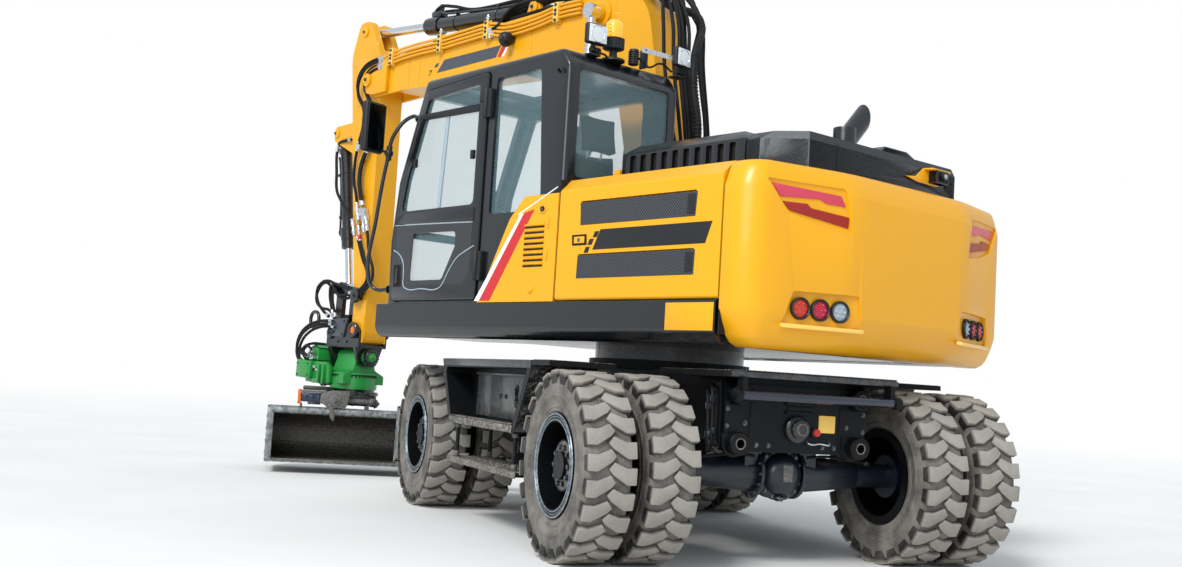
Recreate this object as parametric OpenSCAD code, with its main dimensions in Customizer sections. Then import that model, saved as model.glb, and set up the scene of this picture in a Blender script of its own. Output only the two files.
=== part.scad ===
// Wheeled excavator with a one-piece boom, twin tyres, a front dozer blade and a tilting, turning bucket.
// The machine's frame: +X forward, +Y left, +Z up, on the ground under the slew axis.
// The upper structure's own frame has the same origin and is turned by slew_deg.

/* [Stance] */
// How far the upper structure is turned to the left
slew_deg = 18.4; // [0:0.1:40]
// Distance between the axles
wheelbase = 2900; // [2850:1:3000]
// Distance between the outer tyres' middle planes
track = 2520; // [2500:1:2560]

/* [Wheels] */
// Outside diameter of a tyre over its lugs
tyre_d = 1060; // [1040:1:1070]
// Width of one tyre
tyre_w = 280; // [260:1:290]
// Distance between the middle planes of two twin tyres
twin_pitch = 375; // [340:1:390]
// Lugs around one shoulder of a tyre
lug_count = 24; // [20:1:32]
// Depth of a lug
lug_h = 26; // [12:1:32]
// Radius of the rim's flange
rim_r = 292; // [280:1:300]
// Radius of the hub drum
hub_r = 142; // [130:1:150]
// Radius of the spindle in the hub
spindle_r = 70; // [60:1:80]

/* [Axles] */
// Height of the king pin's centre line from the machine's middle
king_y = 780; // [770:1:790]
// Radius of a king pin
king_r = 34; // [28:1:38]

/* [Chassis] */
// Half width of the frame's box
frame_half = 340; // [300:1:380]
// Bottom of the frame
frame_z0 = 660; // [640:1:700]
// Top of the frame's deck
deck_z = 1110; // [1100:1:1130]
// Outer face of the toolboxes
box_y = 1370; // [1340:1:1380]
// Radius of an eye's bore in the rear plate
eye_bore_r = 25; // [18:1:30]

/* [Blade] */
// Width of the dozer blade
blade_w = 2500; // [2300:1:2600]
// Height of the dozer blade
blade_h = 480; // [420:1:520]
// Height of the blade's edge over the ground as it is carried
blade_lift = 220; // [150:1:260]

/* [Upper structure] */
// Outer face of the skirts and doors from the middle
side_y = 1250; // [1240:1:1260]
// Bottom of the upper frame
upper_z0 = 1240; // [1230:1:1250]
// Top of the skirts and floor of the cab
floor_z = 1490; // [1480:1:1500]
// Top of the bodywork
body_z = 2270; // [2240:1:2300]
// Rear of the counterweight at its middle
tail_x = 2000; // [1970:1:2030]

/* [Cab] */
// Width of the cab
cab_w = 1000; // [980:1:1010]
// Roof height
roof_z = 3140; // [3100:1:3180]
// Thickness of the cab's walls
cab_wall = 45; // [35:1:55]

/* [Boom] */
// Middle plane of the boom from the middle of the machine
boom_y = -120; // [-140:1:-110]
// Width of the boom
boom_w = 310; // [300:1:314]
// Radius of the large pins
pin_r = 38; // [32:1:42]
// Outside radius of the lift cylinders' barrels
lift_r = 60; // [50:1:60]
// Radius of their rods
lift_rod_r = 38; // [30:1:42]

/* [Stick] */
// Height of the stick's upper end
stick_top = 4400; // [4390:1:4440]
// Reach of the ears that hold the bucket cylinder
ear_reach = 4990; // [4975:1:5040]
// Width of the stick
stick_w = 240; // [220:1:242]
// Outside radius of the stick cylinder's barrel
crowd_r = 72; // [60:1:75]
// Outside radius of the bucket cylinder's barrel
dump_r = 60; // [50:1:62]

/* [Tool] */
// Width of the grading bucket
bucket_w = 1550; // [1300:10:1600]
// How far the bucket is turned to the right
bucket_turn = 29; // [0:1:40]
// Radius of the tilt pin
tilt_pin_r = 45; // [38:1:48]

/* [Hidden] */
$fn = 48;

// Where the slew axis stands from the part's origin, which is under the middle of its outline
park_x = -1415.2;
park_y = -196.6;

// Radial clearance of pins and spindles
fit = 0.08;
// Gap between pieces that pass each other
gap = 6;
// Gap between pieces that rest against each other
seat_gap = 0.3;

yellow = [0.93, 0.65, 0.09];
black = [0.10, 0.11, 0.12];
grey = [0.45, 0.45, 0.44];
green = [0.10, 0.55, 0.18];
tyre_grey = [0.40, 0.38, 0.35];
chrome = [0.85, 0.86, 0.88];
dark = [0.20, 0.21, 0.22];

axle_x = wheelbase / 2;
wheel_z = tyre_d / 2;
twin_y = track / 2 - twin_pitch / 2;
tread_r = tyre_d / 2 - lug_h;
bead_r = rim_r - 34;

// The arm's pins in the boom's plane: forward, up
foot_pin = [100, 1800];
lift_base = [950, 1585];
lift_pin = [900, 3820];
stick_pin = [4250, 3770];
crowd_base = [1820, 4060];
crowd_pin = [4480, 4300];
dump_base = [4930, 3340];
rocker_pin = [4215, 1690];
rod_pin = [4640, 1775];
link_pin = [4660, 1330];
tip_pin = [4220, 1360];
tool_x = 4430;
tilt_z = 1110;

function unit(v) = v / norm(v);
function pick(c, i) = let (q = c[(i + len(c)) % len(c)]) [q[0], q[1]];
// One corner of an outline: [x, y, radius] becomes the points of its arc
function corner(p, from, to, r, steps) =
  let (a = unit(from - p), b = unit(to - p), half = acos(a * b) / 2,
       m = p + unit(a + b) * r / sin(half), u = p + a * r / tan(half) - m, v = p + b * r / tan(half) - m,
       w = 180 - 2 * half)
  [for (s = [0:steps]) m + (u * sin(w * (1 - s / steps)) + v * sin(w * s / steps)) / sin(w)];
// An outline whose corners [x, y, radius] are rounded
function outline(c, steps = 4) = [for (i = [0:len(c) - 1])
  each (c[i][2] == 0 ? [pick(c, i)] : corner(pick(c, i), pick(c, i - 1), pick(c, i + 1), c[i][2], steps))];

module on_machine() { translate([park_x, park_y, 0]) children(); }
module on_upper() { on_machine() rotate([0, 0, slew_deg]) children(); }
// The boom's plane, with the pins' coordinates
module on_boom() { on_upper() translate([0, boom_y, 0]) children(); }
// A plate in the XZ plane, t thick about y
module plate(c, y, t, steps = 4) {
  translate([0, y + t / 2, 0]) rotate([90, 0, 0]) linear_extrude(t) polygon(outline(c, steps));
}
// A plate in the XY plane from z0 to z1
module slab(c, z0, z1, steps = 4) { translate([0, 0, z0]) linear_extrude(z1 - z0) polygon(outline(c, steps)); }
// A plate in the YZ plane, from x0 to x1
module wall_x(c, x0, x1, steps = 4) {
  translate([x0, 0, 0]) rotate([90, 0, 90]) linear_extrude(x1 - x0) polygon(outline(c, steps));
}
module block(x0, x1, y0, y1, z0, z1) { translate([x0, y0, z0]) cube([x1 - x0, y1 - y0, z1 - z0]); }
// A round bar along Y at p = [x, z], from y0 to y1
module bar_y(p, r, y0, y1) { translate([p[0], y1, p[1]]) rotate([90, 0, 0]) cylinder(r=r, h=y1 - y0); }
module bar_x(y, z, r, x0, x1) { translate([x0, y, z]) rotate([0, 90, 0]) cylinder(r=r, h=x1 - x0); }
// A round bar from a to b
module rod(a, b, r) {
  d = b - a;
  translate(a) rotate([0, acos(d[2] / norm(d)), atan2(d[1], d[0])]) cylinder(r=r, h=norm(d));
}
// A bent tube through the points of a path
module rail(path, r) {
  for (i = [0:len(path) - 2]) rod(path[i], path[i + 1], r);
  for (i = [1:len(path) - 2]) translate(path[i]) sphere(r=r + 0.6, $fn = 24);
}
// Something drawn along +X from pin a towards pin b, both [x, z]
module along(a, b) {
  translate([a[0], 0, a[1]]) rotate([0, -atan2(b[1] - a[1], b[0] - a[0]), 0]) children();
}
module mirrored(v = [0, 1, 0]) { children(); mirror(v) children(); }

// Wheels

module lug_band(y0, y1, turn) {
  step = 360 / lug_count;
  pts = [for (i = [0:lug_count - 1]) for (k = [[-0.30, 0], [-0.24, 1], [0.24, 1], [0.30, 0]])
    let (a = turn + (i + k[0]) * step, r = tread_r - 8 + k[1] * (lug_h + 8)) r * [cos(a), sin(a)]];
  translate([0, 0, y0]) difference() {
    linear_extrude(y1 - y0) polygon(pts);
    translate([0, 0, -1]) cylinder(r=tread_r - 14, h=y1 - y0 + 2);
  }
}
// A lug's corner stands at the bottom of the tyre
lug_foot = 270 - 0.24 * 360 / lug_count;
// One tyre about its own middle, its axle along Z
module tyre() {
  half = tyre_w / 2;
  bead = half - flange_out - flange_t - seat_gap;
  rotate_extrude($fn = 64) polygon([[bead_r + seat_gap, -bead], [rim_r + 1, -bead], [rim_r + 26, -half + 8],
    [bead_r + 130, -half], [tread_r - 60, -half + 6], [tread_r, -half + 34], [tread_r, half - 34],
    [tread_r - 60, half - 6], [bead_r + 130, half], [rim_r + 26, half - 8], [rim_r + 1, bead],
    [bead_r + seat_gap, bead]]);
  lug_band(-half + 22, -6, lug_foot);
  lug_band(6, half - 22, lug_foot + 180 / lug_count);
}
module twin_tyres(x, side) {
  for (k = [-1, 1]) on_machine()
    translate([x, side * (twin_y + k * twin_pitch / 2), wheel_z]) rotate([90, 0, 0]) color(tyre_grey) tyre();
}
// The rim's flange: from the tyre's outer side, and its thickness
flange_out = 10;
flange_t = 14;
hub_in = -150;
hub_out = 262;
bore_end = 118;
// Both rims and the hub drum about the twin's middle, outwards along +Z
module rim_pair() {
  difference() {
    rotate_extrude($fn = 64) {
      for (k = [-1, 1]) translate([0, k * twin_pitch / 2]) {
        translate([bead_r - 16, -tyre_w / 2 + 24]) square([16, tyre_w - 48]);
        for (e = [-1, 1]) translate([bead_r - 16, e * (tyre_w / 2 - flange_out - flange_t / 2) - flange_t / 2])
          square([rim_r - bead_r + 16, flange_t]);
        polygon([[hub_r - 10, -k * (twin_pitch / 2)], [hub_r - 10, -k * (twin_pitch / 2 - 18)],
          [bead_r - 60, -k * (twin_pitch / 2 - 18)], [bead_r - 8, -k * (tyre_w / 2 - 50)],
          [bead_r - 8, -k * (tyre_w / 2 - 26)], [bead_r - 50, -k * (twin_pitch / 2)]]);
      }
      translate([0, hub_in]) square([hub_r, hub_out - hub_in]);
      translate([0, hub_out - 1]) square([hub_r * 0.55, 26]);
    }
    translate([0, 0, hub_in - 1]) cylinder(r=spindle_r + fit, h=bore_end - hub_in + 1);
  }
}
module twin_rims(x, side) {
  on_machine() translate([x, side * twin_y, wheel_z]) rotate([-side * 90, 0, 0]) color(dark) rim_pair();
}
module tyres_front_left() { twin_tyres(axle_x, 1); }
module tyres_front_right() { twin_tyres(axle_x, -1); }
module tyres_rear_left() { twin_tyres(-axle_x, 1); }
module tyres_rear_right() { twin_tyres(-axle_x, -1); }
module rims_front_left() { twin_rims(axle_x, 1); }
module rims_front_right() { twin_rims(axle_x, -1); }
module rims_rear_left() { twin_rims(-axle_x, 1); }
module rims_rear_right() { twin_rims(-axle_x, -1); }

// Axles

flange_y = twin_y + hub_in - gap;
spindle_end = twin_y + bore_end - gap;
// The spindle and flange that carry a wheel, along +Y from the flange
module spindle() {
  bar_y([0, wheel_z], 118, flange_y - 34, flange_y);
  bar_y([0, wheel_z], spindle_r, flange_y - 10, spindle_end);
}
beam_r = 72;
// Half length of the drive shaft's joint with an axle
stub_x = 300;
saddle_y = [130, 240];
module differential() {
  translate([0, 0, wheel_z]) sphere(r=150, $fn = 32);
  translate([-30, 0, wheel_z]) rotate([0, -90, 0]) cylinder(r1=144, r2=100, h=80);
}
// The axle's seats under the chassis
module axle_posts() { mirrored() block(-100, 100, saddle_y[0], saddle_y[1], wheel_z + 40, frame_z0); }
module rear_axle() {
  color(dark) on_machine() translate([-axle_x, 0, 0]) {
    mirrored() {
      spindle();
      bar_y([0, wheel_z], beam_r, 120, flange_y - 30);
      bar_y([0, wheel_z], 130, flange_y - 110, flange_y - 30);
    }
    axle_posts();
    differential();
    bar_x(0, wheel_z, 60, 0, stub_x);
  }
}
// Steering cylinder ahead of the front axle's beam
steer_arm = 175;
steer_z = wheel_z - 64;
steer_rod_r = 22;
steer_end_r = 26;
module front_axle() {
  color(dark) on_machine() translate([axle_x, 0, 0]) difference() {
    union() {
      mirrored() {
        bar_y([0, wheel_z], beam_r, 120, king_y - 40);
        translate([0, king_y, wheel_z - 74]) cylinder(r=62, h=148);
        translate([0, king_y, wheel_z - 128]) cylinder(r=king_r, h=256);
      }
      axle_posts();
      mirror([1, 0, 0]) differential();
      bar_x(0, wheel_z, 60, -stub_x, 0);
      bar_y([steer_arm, steer_z], 38, -230, 230);
      for (y = [-180, 180]) block(0, steer_arm, y - 15, y + 15, wheel_z - 90, wheel_z + 20);
    }
    bar_y([steer_arm, steer_z], steer_rod_r + fit, -300, 300);
  }
}
module steering_rod() {
  color(chrome) on_machine() translate([axle_x + steer_arm, 0, 0]) {
    bar_y([0, steer_z], steer_rod_r, -king_y + 8, king_y - 8);
    mirrored() translate([0, king_y - 8, steer_z]) cylinder(r=steer_end_r, h=2 * steer_end_r, center=true);
  }
}
module knuckle(side) {
  color(dark) on_machine() translate([axle_x, 0, 0]) scale([1, side, 1]) {
    spindle();
    difference() {
      union() {
        for (z = [wheel_z - 80 - 46, wheel_z + 80]) {
          translate([0, king_y, z]) cylinder(r=66, h=46);
          block(-66, 66, king_y, flange_y - 30, z, z + 46);
        }
        block(-80, 80, king_y + 76, flange_y - 20, wheel_z - 126, wheel_z + 126);
        slab([[40, king_y - 30, 0], [steer_arm + steer_end_r, king_y - 8 - steer_end_r, 24],
          [steer_arm + steer_end_r, king_y - 8 + steer_end_r, 24], [40, king_y + 50, 0]],
          wheel_z - 116, steer_z - steer_end_r - seat_gap);
      }
      translate([0, king_y, 0]) cylinder(r=king_r + fit, h=2 * wheel_z);
    }
  }
}
module knuckle_left() { knuckle(1); }
module knuckle_right() { knuckle(-1); }

// Chassis

rear_plate_x = -1700;
// Bottom of the frame's box between the axles
belly_z = 700;
// Joint of the slew ring's two halves
ring_z = deck_z + 60;
blade_pin = [2005, 655];
blade_pin_r = 25;
blade_top_pin = [1965, 925];
eye_y = 400;
eye_z = [frame_z0 + 45, 985];
module eye_bores() {
  for (y = [-eye_y, eye_y], z = eye_z) bar_x(y, z, eye_bore_r, rear_plate_x - 200, rear_plate_x + 200);
}
module chassis_frame() {
  color(black) on_machine() {
    difference() {
      union() {
        block(-1500, 1840, -frame_half, frame_half, belly_z, 1020);
        slab([[-1900, -560, 60], [-1100, -620, 60], [-1100, 620, 60], [-1900, 560, 60]], deck_z - 34, deck_z);
        block(-1500, 1200, -frame_half - 20, frame_half + 20, 1018, deck_z - 1);
        block(rear_plate_x, rear_plate_x + 60, -eye_y - 70, eye_y + 70, frame_z0, 1040);
        block(rear_plate_x + 20, -1490, -frame_half, frame_half, belly_z, deck_z - 2);
        mirrored() for (z = eye_z) bar_x(eye_y, z, 48, rear_plate_x - 70, rear_plate_x + 70);
        block(1830, 1880, -frame_half - 60, frame_half + 60, 560, 1020);
        mirrored() plate([[1860, 560, 0], [2060, 600, 50], [2060, 720, 50], [1860, 800, 0]], 360, 40);
        mirrored() for (y = [140, 275])
          plate([[1860, 800, 0], [2015, 860, 40], [2015, 985, 40], [1860, 1020, 0]], y, 30);
        mirrored() for (x = [-axle_x, axle_x]) block(x - 110, x + 110, saddle_y[0], saddle_y[1], frame_z0, 710);
        mirrored() block(-640, 600, frame_half, box_y - 420, 720, 760);
      }
      eye_bores();
    }
    mirrored() bar_y(blade_pin, blade_pin_r, 280, 382);
    mirrored() bar_y(blade_top_pin, blade_pin_r, 126, 300);
    bar_x(0, 800, 70, rear_plate_x - 30, rear_plate_x);
    bar_y([-1930, deck_z - 130], 24, -540, 540);
    mirrored() block(-1944, -1880, 470, 500, deck_z - 150, deck_z - 30);
    translate([0, 0, deck_z - 2]) cylinder(r=560, h=ring_z - deck_z + 2, $fn = 64);
  }
}
module driveline() {
  color(dark) on_machine() {
    block(-260, 240, -190, 190, 470, belly_z - seat_gap);
    bar_x(0, wheel_z, 45, stub_x - axle_x + seat_gap, axle_x - stub_x - seat_gap);
    bar_x(120, 580, 90, -420, -250);
  }
}
// The open toolbox frame with its slanted ends, from the deck down to the hung step
module toolbox(side) {
  y1 = box_y;
  y0 = box_y - 420;
  color(black) on_machine() scale([1, side, 1]) {
    difference() {
      plate([[-980, deck_z, 10], [-700, frame_z0, 20], [680, frame_z0, 20], [920, deck_z, 30]],
        (y0 + y1) / 2, y1 - y0);
      plate([[-880, deck_z - 50, 10], [-660, frame_z0 + 50, 20], [640, frame_z0 + 50, 30], [840, deck_z - 60, 30]],
        y1 - 60, 260);
    }
    block(-1240, -960, y0, y1, deck_z - 30, deck_z);
    block(-560, 560, y0 + 40, y1 - 170, frame_z0 + 51, deck_z - 70);
    for (x = [-640, 560]) bar_y([x, 420], 12, y0 + 20, y1 - 10);
    block(-760, 660, y1 - 300, y1 - 10, 400, 424);
    for (x = [-640, 560], y = [y1 - 40, y1 - 280]) translate([x, y, 410]) cylinder(r=14, h=frame_z0 - 405);
  }
}
module toolbox_left() { toolbox(1); }
module toolbox_right() { toolbox(-1); }

// Blade

blade_x = 2470;
blade_lug = [2455, 520];
blade_cyl_y = 205;
module blade() {
  z0 = blade_lift;
  z1 = blade_lift + blade_h;
  mid = z0 + 0.45 * blade_h;
  color(black) on_machine() {
    plate([[blade_x + 110, z0, 0], [blade_x + 150, z0, 0], [blade_x + 50, mid, 260], [blade_x + 130, z1, 0],
      [blade_x + 80, z1, 0], [blade_x, mid, 260]], 0, blade_w, 6);
    mirrored() plate([[blade_x + 30, z0 + 60, 0], [blade_x + 150, z0 - 1, 0], [blade_x + 131, z1 + 1, 0],
      [blade_x + 30, z1 - 30, 30]], blade_w / 2 - 9, 20);
    difference() {
      union() {
        mirrored() plate([[blade_pin[0] - 55, 600, 50], [blade_x + 60, z0 + 80, 0], [blade_x + 40, z0 + 330, 0],
          [blade_pin[0] - 55, 712, 50]], 310, 44);
        mirrored() for (y = [blade_cyl_y - 58, blade_cyl_y + 58])
          plate([[blade_lug[0] - 45, 470, 40], [blade_x + 60, 430, 0], [blade_x + 45, 630, 0],
            [blade_lug[0] - 45, 570, 40]], y, 22);
        block(blade_x - 40, blade_x + 20, -290, 290, 370, 455);
      }
      mirrored() bar_y(blade_pin, blade_pin_r + fit, 200, 420);
    }
  }
}
blade_len = norm(blade_lug - blade_top_pin);
// A cylinder's barrel along +X from its base eye, open at the gland
module barrel(r, rod_r, len, eye_r, eye_w, base_r) {
  difference() {
    union() {
      rotate([90, 0, 0]) cylinder(r=eye_r, h=eye_w, center=true);
      translate([eye_r * 0.6, 0, 0]) rotate([0, 90, 0]) cylinder(r=r, h=len - eye_r * 0.6);
      translate([len - 70, 0, 0]) rotate([0, 90, 0]) cylinder(r=r + 8, h=70);
    }
    rotate([90, 0, 0]) cylinder(r=base_r + fit, h=eye_w + 2, center=true);
    translate([eye_r + 30, 0, 0]) rotate([0, 90, 0]) cylinder(r=rod_r + fit, h=len);
  }
}
// The rod of a cylinder whose pins lie len apart, from inside the barrel to its eye
module piston_rod(rod_r, len, inside, eye_r, eye_w) {
  translate([inside, 0, 0]) rotate([0, 90, 0]) cylinder(r=rod_r, h=len - inside);
  translate([len, 0, 0]) rotate([90, 0, 0]) cylinder(r=eye_r, h=eye_w, center=true);
}
module blade_barrels() {
  color(black) on_machine() mirrored() translate([0, blade_cyl_y, 0]) along(blade_top_pin, blade_lug)
    barrel(45, 25, blade_len * 0.68, 48, 84, blade_pin_r);
}
module blade_rods() {
  color(chrome) on_machine() mirrored() translate([0, blade_cyl_y, 0]) along(blade_top_pin, blade_lug)
    piston_rod(25, blade_len, blade_len * 0.38, 32, 80);
}

// Upper structure

// Front face of the counterweight
tail_joint = -1625;
// Top of the upper frame's floor plate
frame_top = floor_z - 20;
bracket_y = boom_w / 2 + gap;
bracket_t = 34;
lift_y = bracket_y + bracket_t + gap + lift_r;
module upper_frame() {
  color(black) on_upper() {
    slab([[1180, 300, 60], [1700, 420, 60], [1700, side_y - 80, 0], [tail_joint + seat_gap, side_y - 80, 0],
      [tail_joint + seat_gap, -side_y + 80, 0], [1180, -side_y + 80, 0]], upper_z0 + 20, frame_top);
    translate([0, 0, ring_z + seat_gap]) cylinder(r=520, h=upper_z0 + 24 - ring_z, $fn = 64);
    // Skirts, rounded below
    for (s = [[1, 1880], [-1, 1880]]) scale([1, s[0], 1])
      wall_x([[side_y - 150, upper_z0 + 18, 0], [side_y - 40, upper_z0, 60], [side_y, upper_z0 + 70, 60],
        [side_y, floor_z, 8], [side_y - 150, floor_z, 0]], -1600, s[1]);
    // Front cross member under the cab's toe
    block(1660, 1860, 300, side_y - 140, upper_z0 + 40, floor_z - 6);
    // The boom's bracket with its pins
    for (k = [-1, 1]) plate([[-420, floor_z - 30, 0], [1120, floor_z - 30, 0], [1120, 1560, 90], [980, 1680, 60],
      [420, 1740, 120], [260, 1960, 140], [-40, 1960, 140], [-420, 1640, 80]],
      boom_y + k * (bracket_y + bracket_t / 2), bracket_t);
    bar_y(foot_pin, pin_r, boom_y - bracket_y - bracket_t - 14, boom_y + bracket_y + bracket_t + 14);
    bar_y(lift_base, pin_r, boom_y - lift_y - lift_r + 4, boom_y + lift_y + lift_r - 4);
    mirrored() translate([door_pivot[0], door_pivot[1], floor_z - 10]) cylinder(r=door_pin_r, h=50);
  }
}
// Plan of the counterweight, from its joint with the doors round the tail
module tail_plan(inset) {
  e = inset;
  corner_x = -tail_x + 190 + e * 0.3;
  polygon(outline([[tail_joint, side_y - e, 0], [corner_x, side_y - e, 200 - e], [-tail_x + e, 560, 800],
    [-tail_x + e, -560, 800], [corner_x, -side_y + e, 200 - e], [tail_joint, -side_y + e, 0]], 5));
}
module tail_level(z, inset) { translate([0, 0, z]) linear_extrude(1) tail_plan(inset); }
// Depth of the lamps' recess
lamp_bed = 30;
// The sloped face beside the tail's middle: local y runs outwards along it, local x into it
module on_slope() { translate([-tail_x, 560, 0]) rotate([0, 0, -15.4]) children(); }
module counterweight() {
  color(yellow) on_upper() difference() {
    union() {
      hull() { tail_level(upper_z0, 150); tail_level(upper_z0 + 60, 60); tail_level(1450, 0); }
      translate([0, 0, 1450]) linear_extrude(2140 - 1450) tail_plan(0);
      hull() { tail_level(2139, 0); tail_level(body_z - 40, 26); tail_level(body_z - 1, 70); }
    }
    // Lamp recess and reflector recess at both ends of the tail
    mirrored() on_slope() {
      wall_x([[406, 1560, 10], [-52, 1566, 10], [-78, 1372, 10], [474, 1364, 10]], -150, lamp_bed);
      wall_x([[604, 2162, 10], [74, 2157, 10], [23, 1901, 10], [251, 1931, 10], [466, 1987, 10]], -150, 22);
    }
  }
  // Three round lamps in each recess
  color(yellow) on_upper() mirrored() on_slope() for (y = [76, 210, 342]) {
    bar_x(y, 1468, 60, 10, lamp_bed + 20);
    bar_x(y, 1468, 50, 5, 12);
  }
}
module engine() { color(dark) on_upper() block(-1500, -600, -560, 620, frame_top + seat_gap, 2180); }
hood_y = 960;
shoulder_z = body_z - 40;
shoulder_y = side_y - 100;
// Pivot of a side door, a pin that stands on the skirt
door_pivot = [-1594, side_y - 18];
door_pin_r = 8;
// Front edge of the hood's lid, its hinge and the radius of every small hinge pin
lid_x = -440;
hood_hinge = [lid_x + 5, body_z + 50];
hinge_r = 8;
// The fixed frame round a side door: a wall at either end and the shoulder over it
module bay_frame(side, front_x) {
  scale([1, side, 1]) {
    for (x = [[-1618, -1598], [-240, front_x]])
      wall_x([[650, floor_z + seat_gap, 0], [side_y - 60, floor_z + seat_gap, 0], [side_y - 60, 2160, 0],
        [shoulder_y - gap, shoulder_z + 1, 0], [650, shoulder_z + 1, 0]], x[0], x[1]);
    block(-1619, front_x, hood_y - 30, shoulder_y, shoulder_z, body_z);
    // Ear and pin of the hood's hinge
    block(hood_hinge[0] - 26, hood_hinge[0] + 26, hood_y + gap, hood_y + 24, body_z - 1, hood_hinge[1] + 26);
    bar_y(hood_hinge, hinge_r, hood_y - 55, hood_y + 24);
  }
}
module left_bodywork() {
  color(yellow) on_upper() {
    // Front panel behind the cab door with its slanted border and louvres
    difference() {
      plate([[-196, floor_z + seat_gap, 0], [610, floor_z + seat_gap, 0], [300, 2040, 120], [150, 2180, 60],
        [-196, 2180, 0]], (side_y + cab_y1 + seat_gap) / 2, side_y - cab_y1 - seat_gap);
      for (i = [0:7]) block(-70, 130, side_y - 18, side_y + 10, 1716 + i * 36, 1732 + i * 36);
    }
    bay_frame(1, -208);
  }
}
// Inner face of the tank, beside the lift cylinder
tank_y = 470;
module right_tank() {
  color(yellow) on_upper() {
    difference() {
      plate([[-196, floor_z + seat_gap, 0], [1150, floor_z + seat_gap, 60], [1150, 1960, 90], [900, 2180, 140],
        [-196, 2180, 0]], -(side_y + tank_y) / 2, side_y - tank_y);
      block(880, 1400, -side_y - 10, -960, 1700, 2400);
    }
    bay_frame(-1, -190);
    // Handrail along the tank's top
    for (x = [-60, 700]) rod([x, -1180, 2170], [x, -1180, 2420], 16);
    rod([-76, -1180, 2420], [716, -1180, 2420], 17);
  }
}
lid_top = body_z + 240;
// Top of the hood's fixed tail, and the height of the slope round the lid and the tail
hood_top = body_z + 205;
chamfer = 60;
// Outline across the hood between y0 and y1, its upper corners sloped
function hood_ring(y0, y1, z0, z1, slope) = [[y0, z0, 0], [y1, z0, 0], [y1, z1 - slope, 0], [y1 - slope, z1, 0],
  [y0 + slope, z1, 0], [y0, z1 - slope, 0]];
module hood_base() {
  color(dark) on_upper() {
    intersection() {
      slab([[-1500, hood_y - 5, 0], [-1600, hood_y - 5, 0], [-1830, 800, 0], [-1830, -640, 0], [-1500, -640, 0]],
        body_z + seat_gap, hood_top);
      wall_x(hood_ring(-640, hood_y - 5, body_z, hood_top, 45), -1840, -1490);
    }
    mirrored() block(-1502, -510, 900, 924, body_z - 90, body_z);
    block(-535, -510, -924, 924, frame_top + seat_gap, body_z + 155);
    // Sloped cover on the tail and the camera's arm behind it
    wall_x([[115, hood_top - 1, 0], [60, hood_top + 40, 0], [-160, hood_top + 40, 0], [-270, hood_top - 1, 0]],
      -1800, -1520);
    wall_x([[-130, 2350, 10], [-275, 2435, 20], [-520, 2435, 10], [-500, 2340, 20], [-220, 2335, 20]],
      -1842, -1829);
    block(-1905, -1841, -460, -335, 2345, 2425);
  }
}
module hood_lid() {
  color(dark) on_upper() mirrored() difference() {
    union() {
      bar_y(hood_hinge, hinge_r + 5, hood_y - 55, hood_y);
      block(lid_x - 1, lid_x + 6, hood_y - 55, hood_y, hood_hinge[1] - 13, hood_hinge[1] + 13);
    }
    bar_y(hood_hinge, hinge_r + fit, hood_y - 56, hood_y + 1);
  }
  color(dark) on_upper() difference() {
    wall_x(hood_ring(-hood_y, hood_y, body_z + seat_gap, lid_top, chamfer), -1490, lid_x);
    wall_x(hood_ring(30 - hood_y, hood_y - 30, body_z - 10, lid_top - 25, chamfer), -1460, lid_x - 30);
    mirrored() bar_y(hood_hinge, hinge_r + fit, hood_y - 56, hood_y + 1);
    for (i = [0:9]) mirrored()
      block(-564 - i * 94, -520 - i * 94, hood_y - 40, hood_y + 10, body_z + 48, body_z + 160);
  }
}
// A short upright base and a pipe that leans to the right, its mouth cut upright
exhaust_foot = [-1670, 285];
module exhaust() {
  color(dark) on_upper() difference() {
    union() {
      translate([exhaust_foot[0], exhaust_foot[1], hood_top + seat_gap]) cylinder(r=70, h=125);
      rod([exhaust_foot[0], 285, 2535], [exhaust_foot[0], 60, 2770], 62);
    }
    rod([exhaust_foot[0], 240, 2582], [exhaust_foot[0], 40, 2791], 53);
    block(exhaust_foot[0] - 100, exhaust_foot[0] + 100, -100, 125, 2480, 2900);
  }
}
door_x0 = -1612;
door_x1 = -206;
// Inner edge of the door's top, which swings past the shoulder
return_y = shoulder_y + gap + 3;
// A side door with two woven grilles in recesses
module side_door(side) {
  color(yellow) on_upper() scale([1, side, 1]) {
    difference() {
      wall_x([[side_y - 50, floor_z + 6, 0], [side_y, floor_z + 6, 20], [side_y, 2190, 30], [return_y, body_z, 0],
        [return_y, shoulder_z, 0], [side_y - 50, 2170, 0]], door_x0, door_x1);
      translate([door_pivot[0], door_pivot[1], floor_z]) cylinder(r=door_pin_r + fit, h=42);
      for (z = [1960, 1630]) block(-1410, -420, side_y - 100, side_y + 10, z, z + 150);
    }
    for (z = [1960, 1630]) {
      block(-1412, -418, side_y - 44, side_y - 34, z - 2, z + 152);
      for (i = [0:16]) block(-1380 + i * 52, -1364 + i * 52, side_y - 35, side_y - 22, z, z + 150);
    }
  }
}
module side_door_left() { side_door(1); }
module side_door_right() { side_door(-1); }

// Cab

cab_y1 = side_y - 22;
cab_y0 = side_y - cab_w;
cab_side = [[-200, floor_z + seat_gap, 0], [1780, floor_z + seat_gap, 40], [1800, 1950, 200],
  [1740, 2400, 200], [1450, roof_z, 60], [-110, roof_z, 40], [-200, 3030, 60]];
door_gap = 8;
door_t = 40;
recess = 24;
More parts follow.
